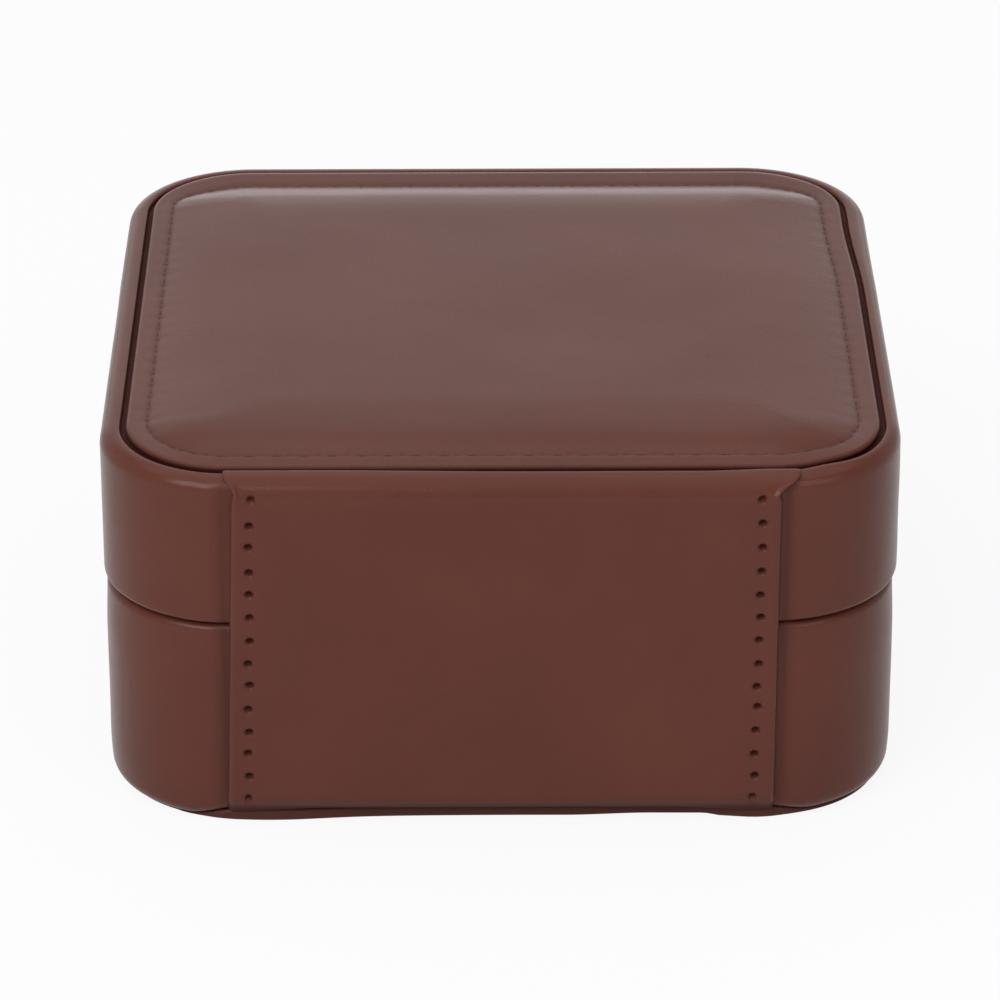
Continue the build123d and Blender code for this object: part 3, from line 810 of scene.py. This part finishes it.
def hinge_path():
    """The sheet's outer and glued faces, from the groove to under the foot, as matching stops."""
    back, face, base_back = HALF, HINGE_FACE, HALF - OVERHANG
    tuck = back - RIM_EDGE
    groove = tuck - HINGE_IN_CREASE
    over = RIM + HINGE_OVER_RIM
    foot = FOOT + SKIN
    bend, edge, foot_bend = HINGE_BEND, 0.4, 1.2
    down, under = (face, FOOT + bend), (base_back - HINGE_UNDER, FOOT)
    outer = path(
        (groove, RIM - HINGE_TUCK),
        run((groove, RIM - HINGE_TUCK), (groove, over - edge), 5),
        arc((groove + edge, over - edge), edge, 180, 90, 7),
        run((groove + edge, over), (face - bend, over), 4),
        arc((face - bend, over - bend), bend, 90, 0, 18),
        run((face, over - bend), down, HINGE_STEPS),
        arc((face - bend, FOOT + bend), bend, 0, -90, 10),
        run((face - bend, FOOT), under, 4),
        under,
    )
    wall_foot, wall_top = foot + foot_bend, RIM - RIM_ROUND
    over_wall = path(
        (tuck, RIM - HINGE_TUCK),
        run((tuck, RIM - HINGE_TUCK), (tuck, RIM - CREASE_ROUND), 5),
        arc((tuck + CREASE_ROUND, RIM - CREASE_ROUND), CREASE_ROUND, 180, 90, 7),
        run((tuck + CREASE_ROUND, RIM), (back - RIM_ROUND, RIM), 4),
        arc((back - RIM_ROUND, RIM - RIM_ROUND), RIM_ROUND, 90, 0, 18),
    )
    on_wall = run((back, wall_top), (back, wall_foot), HINGE_STEPS)
    on_wall[:, 0] = base_back + OVERHANG * smooth((on_wall[:, 1] - SEAM + 0.6) / 1.2)
    under_wall = path(
        arc((base_back - foot_bend, wall_foot), foot_bend, 0, -90, 10),
        run((base_back - foot_bend, foot), (base_back - HINGE_UNDER, foot), 4),
        (base_back - HINGE_UNDER, foot),
    )
    return outer, path(over_wall, on_wall, under_wall)


def hinge_columns(half, stitch_inset):
    """Places across the sheet at each level, close together about its stitch lines."""
    line = half - stitch_inset
    near_line = 1.2
    to_line = stitch_inset - near_line - 0.05
    edge = -half + to_line * np.linspace(0, 1, 9) ** 1.5
    left = np.concatenate([edge, -line + np.linspace(-near_line, near_line, 29)], 1)
    middle = np.linspace(-1, 1, 61)[1:-1] * (line - near_line)
    return np.concatenate([left, middle, -left[:, ::-1]], 1)


def needle_holes(across, z, line):
    """How far each point of the sheet is down a needle hole, from 0 to 1. The holes sway a little."""
    rng = np.random.default_rng(5)
    hole = np.zeros_like(across)
    for side, first in zip((-1, 1), HINGE_FIRST):
        levels = RIM - first - HINGE_PITCH * np.arange(HINGE_HOLES)
        levels += rng.uniform(-HOLE_SWAY[1], HOLE_SWAY[1], HINGE_HOLES)
        for level, sway in zip(levels, rng.uniform(-HOLE_SWAY[0], HOLE_SWAY[0], HINGE_HOLES)):
            centre = side * np.interp(level, z[::-1, 0], line[::-1, 0]) + sway
            hole += bell(np.hypot((across - centre) * 0.85, z - level), HINGE_HOLE)
    return np.clip(1.6 * hole, 0, 1)


def hinge_leather():
    """One sheet from the groove, over the rim, down the back and under the foot.

    Across its width the thickness is full but for its turned edges, which round off as a quarter
    circle. It leans a little, and droops at its lower corners.
    """
    outside, glue = hinge_path()
    z = outside[:, 1:]
    up_share, high = (z - FOOT) / (RIM - FOOT), z - RIM
    half = HINGE_HALF - 0.2 + HINGE_SPREAD * (1 - smooth(up_share))
    half += HINGE_FLARE * smooth((high + 1.6) / 1.6) - HINGE_WAIST * bell(high + 2.2, 0.9)
    stitch_inset = HINGE_STITCH_FOOT + (HINGE_STITCH_TOP - HINGE_STITCH_FOOT) * up_share
    across = hinge_columns(half, stitch_inset)
    from_edge = half - np.abs(across)
    on_face = smooth((z - FOOT - 0.6) / 1.5) * smooth((RIM - 0.9 - z) / 1.5)
    hole = needle_holes(across, z, half - stitch_inset)
    channel = bell(from_edge - stitch_inset, 1.0)
    bead = bell(from_edge - 1.1, 0.8)
    puffed = bell(from_edge - 0.4, 0.5) * bell(high + 1.9, 1.2) * np.where(across > 0, 1.7, 1)
    spots = joined(across, z)
    swell = 0.06 * unevenness(spots, 34.0, 31) + 0.012 * unevenness(spots, 10.0, 32)
    depth = HINGE_BEAD * bead - HINGE_CHANNEL * channel - HINGE_HOLE_DEPTH * hole
    depth += swell * smooth(from_edge / 6)
    share = HINGE_EDGE_SHARE + (1 - HINGE_EDGE_SHARE) * rounded(from_edge / HINGE_EDGE)[..., None]
    section = glue[:, None, :] * (1 - share) + outside[:, None, :] * share
    section[..., 0] += depth * on_face + HINGE_PUFF * puffed
    lift = HINGE_LIFTS[0] * smooth((across + 4) / 30) + HINGE_LIFTS[1] * smooth((-24 - across) / 8)
    section[..., 1] += HINGE_PUFF * puffed + lift * smooth((high + 3) / 3)
    far_out = smooth((np.abs(across) - 0.62 * half) / (0.3 * half))
    droop = HINGE_DROOP * far_out * smooth((FOOT + 1.2 - z) / 1.2)
    section[..., 1] -= np.minimum(droop, section[..., 1] - 0.75)
    pull = smooth((high + 2.6) / 2.6) * smooth(-2 * across / half - 1)
    sideways = (across - HINGE_LEAN * up_share - HINGE_PULL * pull)[..., None]
    inner = np.broadcast_to(glue[:, None, :], section.shape)
    outer, inner = [np.concatenate([sideways, side], -1) for side in (section, inner)]
    mesh = grid_mesh("HingeLeather", np.concatenate([outer, inner[:, ::-1]], 1), caps=True)
    # painted shade: in the groove, in the needle holes, a little along the edges, and deep low by the
    # foot
    groove_shade = 0.65 * smooth((RIM - section[..., 1]) / 0.4) * (section[..., 0] < HALF - RIM_EDGE)
    painted_shade = np.maximum(hole * on_face, groove_shade)
    painted_shade = np.maximum(painted_shade, 0.15 * bell(from_edge, 0.2))
    painted_shade = np.maximum(painted_shade, 0.9 * smooth((FOOT + 2.3 - z) / 1.8))
    write_share(mesh, "PaintedShade", np.append(np.concatenate([painted_shade, 0 * hole], 1).ravel(), [0, 0]))
    nodes = ["hinge_panel_lower", "hinge_panel_upper"]
    sheet = piece("HingeLeather", mesh, None, LEATHER, "outer_leather", nodes, 75)
    (SEAM - HINGE_FOLD) * MM
    (SEAM + HINGE_FOLD) * MM
    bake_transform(sheet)


# Card under the base

CARD_EDGE = 0.45  # how far in its edge is rounded
CARD_BULGES = ((0.8, 28.5, 8.5), (0.48, -32.0, 3.2))  # at the back: how far out, where and how wide
CARD_DRAWN_IN = 0.6  # how far it is drawn in between them


def bottom_panel():
    """The card under the base, in leather darkened as painted shade under the foot, which stands proud
    where the hinge leather is tucked under.

    Its edge is a half round as high as the room under the foot. It is drawn in where the foot lies
    lower, and along the back it is drawn in and bulges out.
    """
    low, high = corners("base_bottom_panel")
    outline = Outline(high[0], CORNER - (HALF - high[0]), 90, 24)
    stops = outline.ring(0.0)
    across, back = stops.T
    thickness = FOOT - 0.05 - foot_settled(stops) - low[2]
    bulge = sum(out * bell(across - place, width) for out, place, width in CARD_BULGES)
    drawn_in = CARD_DRAWN_IN * smooth((-8 - across) / 11) * smooth((across + 28) / 2.5)
    inset = (back > high[1] - 2) * (0.25 * smooth(1 - np.abs(across) / 34) + drawn_in - bulge)
    inset = inset + 0.2 * foot_settled(stops)
    rings = []
    for angle in np.radians(np.linspace(-90, 90, 13)):
        level = low[2] + thickness * (1 + sin(angle)) / 2
        rings.append(raised(outline.ring(inset + CARD_EDGE * (1 - cos(angle))), level))
    for share in (0.8, 0.4):
        rings.insert(0, rings[0] * [share, share, 1])
        rings.append(raised(stops * share, low[2] + thickness.min()))
    mesh = grid_mesh("BottomPanel", np.array(rings), caps=True)
    piece("BottomPanel", mesh, "base", SHADED_LEATHER, "outer_leather", ["base_bottom_panel"], 60)


# Velvet pads and rolls

ROLL_COUNT = 4
ROLL_END = 3.2  # how far in from its ends a roll is drawn in
ROLL_FOOT = 1.3  # and how round it is along its foot


def ring_roll(number):
    """A foam roll in velvet: upright sides, a round top, ends drawn in and domed.

    Its section shrinks towards each end as a quarter circle does, and its ends follow the rounded
    wall of the base, where three smaller sections close them.
    """
    name = f"ring_roll_{number}"
    low, high = corners(name)
    half, middle_depth = (high[1] - low[1]) / 2, (high[1] + low[1]) / 2
    tall = high[2] - low[2]
    straight, foot = tall - half, ROLL_FOOT
    section = path(
        arc((-half + foot, foot), foot, -90, -180, 5),
        run((-half, foot), (-half, straight), 9),
        arc((0, straight), half, 180, 0, 31),
        run((half, straight), (half, foot), 9),
        arc((half - foot, foot), foot, 0, -90, 5),
        run((half - foot, 0), (-half + foot, 0), 5),
    )
    from_end = np.append(quarter(ROLL_END, 9)[0], np.linspace(ROLL_END + 1, 44.0, 44))
    drawn = ROLL_END * (1 - rounded(from_end / ROLL_END))
    ends = [(0.0, ROLL_END, cap) for cap in (0.1, 0.4, 0.72)]
    base_middle = np.array([0, 0.42 * tall])
    wall_radius = CORNER - HALF + high[0]
    corner_start = high[0] - wall_radius
    rings = []
    for side, taken, cap in [*ends, *((place, taken, 1.0) for place, taken in zip(from_end, drawn))]:
        spot = section * [(half - taken) / half, (tall - 0.8 * taken) / tall]
        spot = base_middle + (spot - base_middle) * cap
        depth = middle_depth + spot[:, 0]
        past = np.clip(np.abs(depth) - corner_start, 0, wall_radius)
        reach = corner_start + np.sqrt(wall_radius**2 - past**2)
        dome = 0.5 * (1 - cap**2)
        rings.append(np.stack([-reach - dome + side, depth, low[2] + spot[:, 1]], -1))
    left = np.array(rings)
    points = np.concatenate([left, left[::-1] * [-1, 1, 1]])
    outwards = points - [0, middle_depth, low[2] + straight * 0.6]
    outwards /= np.linalg.norm(outwards, axis=-1)[..., None] + 1e-9
    above = smooth((points[..., 2] - low[2]) / 6)
    points += (0.11 * above * unevenness(points, 16.0, 40 + number))[..., None] * outwards
    gather = bell(np.abs(points[..., 0]) - high[0] + 3, 2.6) * np.sin(points[..., 1] * 4.2 + 2 * number)
    points[..., 2] += 0.10 * gather * above
    mesh = grid_mesh(f"RingRoll{number}", points, caps=True)
    roll = piece(f"RingRoll{number}", mesh, "base", VELVET, "velvet", [name])


def lining_pad(name, node, body, side, seed):
    """A thin velvet pad whose showing face, up (1) or down (-1), swells and rounds off at its edge.

    Rings step in over the rounded edge and across the face, and then shrink towards its middle.
    """
    low, high = corners(node)
    half = high[0]
    outline = Outline(half, CORNER - HALF + half, 60, 20)
    hidden, shown = (low[2], high[2]) if side > 0 else (high[2], low[2])
    inner_start = 8.0
    round_inset, round_drop = quarter(0.9, 7)
    distances = np.concatenate([
        np.linspace(1.4, inner_start, 10),
        np.linspace(inner_start + 1.5, half - 1.0, 26),
    ])[:, None]
    shrink = (half - np.maximum(distances, inner_start)) / (half - inner_start)
    edge = outline.ring(np.append(0, round_inset)[:, None])
    face = outline.ring(np.minimum(distances, inner_start)) * shrink[..., None]
    edge_level = np.append(hidden, shown - side * round_drop)[:, None]
    swell = 0.05 * unevenness(face, 14.0, seed) * smooth((distances - 1) / 5)
    points = np.concatenate([raised(edge, edge_level), raised(face, shown - side * (0.05 - swell))])
    mesh = grid_mesh(name, points, caps=True)
    pad = piece(name, mesh, body, VELVET, "velvet", [node])


# Gathered pocket in the lid

POCKET_CORNER = 9.0
POCKET_FABRIC = 0.6
POCKET_ROOM = 0.5  # how much less deep it is than its CAD solid
POCKET_LIFT = 0.5  # how far the middle of its cloth lies above that
POCKET_SEWN = 0.35  # the least that it hangs under the ceiling, along its sewn edges
POCKET_GATHERS = 23
POCKET_FOLD = 0.62  # how deep the gathers are next to the elastic
ELASTIC_THICKNESS = 1.1
pocket_low, pocket_high = corners("pocket")
elastic_low, elastic_high = corners("pocket_elastic")
CEILING = pocket_high[2]
POCKET_LENGTH = pocket_high[1] - elastic_low[1]


def pocket_drop(across, from_mouth):
    """How far the cloth hangs under the ceiling, at a share across and a distance from its mouth.

    Towards its three sewn edges it closes as a quarter ellipse, and its mouth is drawn up a little.
    """
    hang = pocket_high[2] - pocket_low[2] - POCKET_ROOM
    from_side, from_back = pocket_high[0] * (1 - np.abs(across)), POCKET_LENGTH - from_mouth
    for distance, reach in ((from_side, 9.0), (from_back, 12.0)):
        hang = hang * rounded(distance / reach)
    return hang * (1 - 0.16 * bell(from_mouth, 7.0)) - POCKET_LIFT


def pocket_place(across, from_mouth):
    """Width and depth places of the pocket, whose back corners are rounded."""
    depth = elastic_low[1] + from_mouth
    past = np.clip(depth - (pocket_high[1] - POCKET_CORNER), 0, POCKET_CORNER)
    half = pocket_high[0] - POCKET_CORNER + np.sqrt(POCKET_CORNER**2 - past**2)
    return across * half, depth


def lid_pocket():
    """The pocket's gathers run back from its elastic and fade towards its sewn back edge."""
    elastic_width = elastic_high[1] - elastic_low[1]
    across = np.linspace(-1, 1, 461)[None, :]
    near, far = np.linspace(elastic_width - 1.0, 12, 26), np.linspace(12.6, POCKET_LENGTH, 52)
    back = np.append(near, far)[:, None]
    width, depth = pocket_place(across, back)
    turns = POCKET_GATHERS * across + 0.55 * unevenness(joined(across * 40, back * 0.6), 30.0, 61)
    pleat = 0.6 * np.cos(pi * turns) + 0.4 * (1 - 2 * np.abs(np.sin(pi * turns / 2)) ** 1.4)
    past_elastic = back - elastic_width
    strength = smooth((past_elastic + 1.2) / 4) * (0.22 + 0.78 * bell(past_elastic, 15.0))
    strength = strength * smooth((POCKET_LENGTH - back) / 9) * smooth((1 - np.abs(across)) / 0.09)
    strength = strength * (0.8 + 0.3 * unevenness(joined(across * 40, back), 18.0, 62))
    hang = pocket_drop(across, back) + POCKET_FOLD * strength * pleat
    sway = 0.25 * strength * np.sin(2 * pi * turns)
    surface = joined(width + sway, depth, CEILING - np.maximum(hang, POCKET_SEWN))
    mesh = sheet_mesh("LidPocket", surface, POCKET_FABRIC, joined(width, back))
    pocket = piece("LidPocket", mesh, "lid", POCKET_VELVET, "pocket_fabric", ["pocket"], 80)
    across = np.linspace(-1, 1, 401)[None, :]
    back = np.linspace(0.05, elastic_width - 0.05, 9)[:, None]
    width, depth = pocket_place(across, back)
    ripple = 0.13 * np.cos(pi * POCKET_GATHERS * across) * smooth((1 - np.abs(across)) / 0.09)
    drop = np.maximum(pocket_drop(across, back) - ripple, ELASTIC_THICKNESS / 2)
    crown = 0.12 * np.sin(pi * (back / elastic_width))
    surface = joined(width, depth, CEILING - drop - crown)
    mesh = sheet_mesh("PocketElastic", surface, ELASTIC_THICKNESS, joined(width, back))
    elastic_piece = piece("PocketElastic", mesh, "lid", ELASTIC, "elastic", ["pocket_elastic"], 50)


# Snap tab

TAB_TOP_ROUND = 3.0
TAB_EDGE = 0.55
TAB_SEW = 1.9  # from its edge to its stitches
TAB_BORDER = 2.8  # from its edge to where its face begins to swell
TAB_PITCH = 2.6
SNAP_SEAT = 2.8  # radius of the hollow behind the strap, where the snap's two halves meet
SNAP_LEFT = 0.2  # how much leather is left over that hollow
root_low, root_high = corners("tab_root")
flap_low, _ = corners("tab_flap")
fold_joint = next(joint for joint in frame["joints"] if joint["name"] == "tab_hinge")
FOLD_DEPTH, FOLD_HEIGHT = np.array(fold_joint["pos_m"][1:]) / MM
TAB_HALF = root_high[0]
TAB_FACE = (root_high[1] - root_low[1]) / 2  # from the middle of its thickness to its faces
TAB_ROOT = root_high[2] - FOLD_HEIGHT  # from its top down to its fold
TAB_TILT = asin((FOLD_DEPTH - flap_low[1]) / hypot(FOLD_HEIGHT - flap_low[2], FOLD_DEPTH - flap_low[1]))
TAB_LENGTH = TAB_ROOT + (FOLD_HEIGHT - flap_low[2]) / cos(TAB_TILT) - 0.05
TIP_MIDDLE = TAB_LENGTH - TAB_HALF  # the middle of its round end, from its top


def tab_border():
    """The flat strap's outline, walked once round from its top, and the way inwards at each point."""
    half, top = TAB_HALF, TAB_TOP_ROUND
    border = path(
        arc((half - top, top), top, -90, 0, 13),
        run((half, top), (half, TIP_MIDDLE), 60),
        arc((0, TIP_MIDDLE), half, 0, 180, 61),
        run((-half, TIP_MIDDLE), (-half, top), 60),
        arc((-half + top, top), top, 180, 270, 13),
        run((-half + top, 0), (half - top, 0), 18),
    )
    tangent = np.roll(border, -1, axis=0) - np.roll(border, 1, axis=0)
    tangent /= np.linalg.norm(tangent, axis=1)[:, None]
    return border, joined(-tangent[:, 1], tangent[:, 0])


def tab_faces(border, inward):
    """Flat places and heights of the strap's back and front, from its middle line to it again.

    Rings step in from the border: over the rounded edge, the stitched border and on to the middle
    line, where the face swells a little.
    """
    spine = joined(0, np.clip(border[:, 1], TAB_HALF * 0.75, TIP_MIDDLE))
    round_inset, round_drop = quarter(TAB_EDGE, 6)
    insets = np.append(round_inset, np.linspace(0.7, TAB_BORDER, 15))
    heights = TAB_FACE - np.append(round_drop, np.zeros(15))
    groove = 0.13 * bell(insets - TAB_SEW, 0.4)
    rings, levels = [], []
    held = border + TAB_BORDER * inward
    for inset, height in zip(insets, heights - groove):
        rings.append(border + inset * inward)
        levels.append(np.full(len(border), height))
    for share in (0.12, 0.3, 0.5, 0.7, 0.88, 1.0):
        rings.append(held + (spine - held) * share)
        levels.append(TAB_FACE + 0.05 * share * unevenness(rings[-1], 12.0, 81))
    flat = np.array([*rings[::-1], border + 0.09 * inward, *rings])
    offset = np.array(levels)
    offset = np.concatenate([-offset[::-1], np.zeros((1, len(border))), offset])
    seat = np.hypot(flat[..., 0], flat[..., 1] - TIP_MIDDLE) < SNAP_SEAT
    seat[len(rings):] = False
    offset[seat] = TAB_FACE - SNAP_LEFT
    return flat, offset


def folded(spot, lift):
    """Carries flat places and their heights on to the folded strap, and gives its slope there.

    The slope turns from upright to the tab's tilt over two millimetres, and the strap's line is the
    sum of small steps along it.
    """
    steps = np.linspace(0, TAB_LENGTH, 800)
    slope = TAB_TILT * smooth((steps - TAB_ROOT + 1.0) / 2.0)
    drop = np.append(0, np.cumsum(np.cos(slope[1:]) * np.diff(steps)))
    out = np.append(0, np.cumsum(np.sin(slope[1:]) * np.diff(steps)))
    turned = np.interp(spot[..., 1], steps, slope)
    inner = lift - TAB_FACE
    depth = root_low[1] - np.interp(spot[..., 1], steps, out) - np.cos(turned) * inner
    height = root_high[2] - np.interp(spot[..., 1], steps, drop) + np.sin(turned) * inner
    return np.stack([spot[..., 0], depth, height], -1), turned


def tab_seams(border, inward):
    """Flat places of the stitches, once round and in a row above the fold, and of a step ahead."""
    sewn = border + TAB_SEW * inward
    steps = np.linalg.norm(np.roll(sewn, -1, axis=0) - sewn, axis=1)
    around = np.append(0, np.cumsum(steps))
    count = round(around[-1] / TAB_PITCH)
    middles = (np.arange(count) + 0.5) * around[-1] / count
    row_end = TAB_HALF - TAB_SEW - 1.6
    row = joined(np.linspace(-row_end, row_end, 6), TAB_ROOT - 2.4)
    step = 0.2  # from a stitch's middle to the place it points at
    spots = path(on_loop(sewn, around, middles), row)
    return spots, path(on_loop(sewn, around, (middles + step) % around[-1]), row + [step, 0])


def snap_tab():
    """One strap of two leathers glued back to back, folded under its stitched root, and its thread."""
    border, inward = tab_border()
    points, _ = folded(*tab_faces(border, inward))
    mesh = grid_mesh("TabStrap", points)
    strap = piece("TabStrap", mesh, None, LEATHER, "outer_leather", ["tab_root", "tab_flap"], 60)
    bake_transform(strap)
    spots, ahead = tab_seams(border, inward)
    places, slope = folded(spots, TAB_FACE - 0.1)
    onward = folded(ahead, TAB_FACE - 0.1)[0] - places
    onward /= np.linalg.norm(onward, axis=1)[:, None]
    up = joined(0, -np.cos(slope), np.sin(slope))
    mesh = stitches("TabStitches", places, onward, up, 0.78 * TAB_PITCH, 0.42, 0.1)
    thread_piece = piece("TabStitches", mesh, None, THREAD, "outer_leather")
    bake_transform(thread_piece)


lid_leather()
base_leather()
top_panel()
hinge_leather()
bottom_panel()
for roll_number in range(1, ROLL_COUNT + 1):
    ring_roll(roll_number)
lining_pad("FloorPad", "base_floor_pad", "base", 1, 51)
lining_pad("CeilingPad", "lid_ceiling_pad", "lid", -1, 52)
lid_pocket()
snap_tab()

# The frame's nodes that no piece stands for, and their finishes
for finish, nodes in (
    (BOARD, ("base_shell", "lid_shell", "top_panel_board")),
    (VELVET, ("base_wall_liner", "lid_wall_liner")),
    (VELVET, ("long_divider", "cross_divider_left", "cross_divider_right")),
    (LEATHER, ("hook_strip",)),
    (HOOK_BRASS, ("necklace_hook_1", "necklace_hook_2", "necklace_hook_3")),
    (SNAP_BRASS, ("snap_cap", "snap_socket", "snap_stud", "snap_post")),
):
    for node in nodes:
        mesh = frame["nodes"][node].data
        mesh.materials.clear()
        mesh.materials.append(finish)


# Camera, light and floor


def camera():
    """The photograph's camera: behind the box and above it, with a long lens."""
    focal_px, frame_px, sensor = 5394.2, 1000.0, 36.0
    middle_px = (498.3, 498.8)
    pitch, yaw, roll = radians(26.27), radians(0.33), radians(-0.06)
    aim = np.array([0, 0, 20.87])
    distance = 715.7
    forward = np.array([-sin(yaw) * cos(pitch), -cos(yaw) * cos(pitch), -sin(pitch)])
    level = np.array([-cos(yaw), sin(yaw), 0.0])
    upright = np.cross(level, forward)
    right = level * cos(roll) + upright * sin(roll)
    up = upright * cos(roll) - level * sin(roll)
    data = bpy.data.cameras.new("PhotoCamera")
    data.sensor_width = sensor
    data.lens = sensor * focal_px / frame_px
    data.shift_x = (frame_px / 2 - middle_px[0]) / frame_px
    data.shift_y = (middle_px[1] - frame_px / 2) / frame_px
    data.clip_end = 20
    holder = bpy.data.objects.new("PhotoCamera", data)
    columns = [right, up, -forward, (aim - forward * distance) * MM]
    holder.matrix_world = Matrix([*np.stack(columns, -1).tolist(), (0, 0, 0, 1)])
    bpy.context.scene.collection.objects.link(holder)
    bpy.context.scene.camera = holder


def area_light(name, place, aim, size, power):
    """A soft white light of some width and height at a place, in metres, turned towards its aim."""
    data = bpy.data.lights.new(name, "AREA")
    data.shape = "RECTANGLE"
    data.size, data.size_y = size
    data.energy = power
    holder = bpy.data.objects.new(name, data)
    holder.location = place
    holder.rotation_euler = (Vector(aim) - Vector(place)).to_track_quat("-Z", "Y").to_euler()
    bpy.context.scene.collection.objects.link(holder)


SKY = ((0.12, 1.0), (0.44, 0.9), (0.7, 0.36), (1.0, 0.28))  # brightness by sine of elevation
NEAR_LOSS = 0.6  # how much of it is lost beyond the camera
SIDE_LOSS = 0.3  # and to the left and right
FAR_GLOW = 0.7  # how much brighter it is low down on the far side


def white_world():
    """White studio surroundings, brightest low down on the far side."""
    world = bpy.data.worlds.new("Studio")
    bpy.context.scene.world = world
    studio = Finish("Studio", world)
    direction = studio.node("ShaderNodeTexCoord")
    across, depth, height = [studio.part(direction, axis) for axis in range(3)]

    def eased(value, low, high, top=1.0):
        """Nought up to the low value, and the top from the high value on."""
        values = {"Value": value, "From Min": low, "From Max": high, "To Max": top}
        return studio.node("ShaderNodeMapRange", values, interpolation_type="SMOOTHSTEP")

    near_loss = eased(depth, -0.7, 0.7, NEAR_LOSS) * eased(height, 0.08, 0.3)
    sideways = studio.node("ShaderNodeMath", {0: across}, operation="ABSOLUTE")
    side_loss = eased(sideways, 0.1, 0.6, SIDE_LOSS)
    far_glow = FAR_GLOW * eased(0 - depth, 0.84, 0.98) * (1 - eased(height, 0.06, 0.34))
    strength = (1 - near_loss) * (1 - side_loss) * (1 + far_glow)
    camera_ray = studio.node("ShaderNodeLightPath")
    strength = studio.node("ShaderNodeMath", {0: strength, 1: camera_ray}, operation="MAXIMUM")
    colour = studio.ramp(height, *[(place, grey(level)) for place, level in SKY])
    backdrop = studio.node("ShaderNodeBackground", {"Color": colour, "Strength": strength})
    studio.node("ShaderNodeOutputWorld", {"Surface": backdrop})


def pale_floor():
    """A pale floor that keeps the box's shadow."""
    finish = Finish("PaleFloor")
    shadowed = finish.node("ShaderNodeBsdfDiffuse", {"Color": grey(0.8)})
    glow = finish.node("ShaderNodeEmission", {"Color": grey(1.0), "Strength": 1.0})
    camera_ray, glossy_ray, transmission_ray = [
        finish.node("ShaderNodeLightPath", output=f"Is {kind} Ray")
        for kind in ("Camera", "Glossy", "Transmission")
    ]
    seen = 0.9 * camera_ray + 0.38 * (glossy_ray + transmission_ray)
    finish.node_out(finish.node("ShaderNodeMixShader", {0: seen, 1: shadowed, 2: glow}))
    half = 3.0
    mesh = bpy.data.meshes.new("Floor")
    square = [(-half, -half, 0), (half, -half, 0), (half, half, 0), (-half, half, 0)]
    mesh.from_pydata(square, [], [(0, 1, 2, 3)])
    mesh.materials.append(finish.material)
    floor = bpy.data.objects.new("Floor", mesh)
    floor.location.z = -0.0001  # just under the box
    bpy.context.scene.collection.objects.link(floor)


camera()
white_world()
area_light("KeyLight", (0.5, 0.75, 0.8), (0, 0, 0.03), (0.8, 0.6), 7.6)
area_light("FillLight", (-0.6, 0.7, 0.75), (0, 0, 0.03), (0.7, 0.6), 2.2)
area_light("TopLight", (0.1, -0.1, 1.0), (0, 0, 0.04), (1.3, 1.3), 5.0)
pale_floor()
bpy.context.scene.view_settings.view_transform = "Standard"
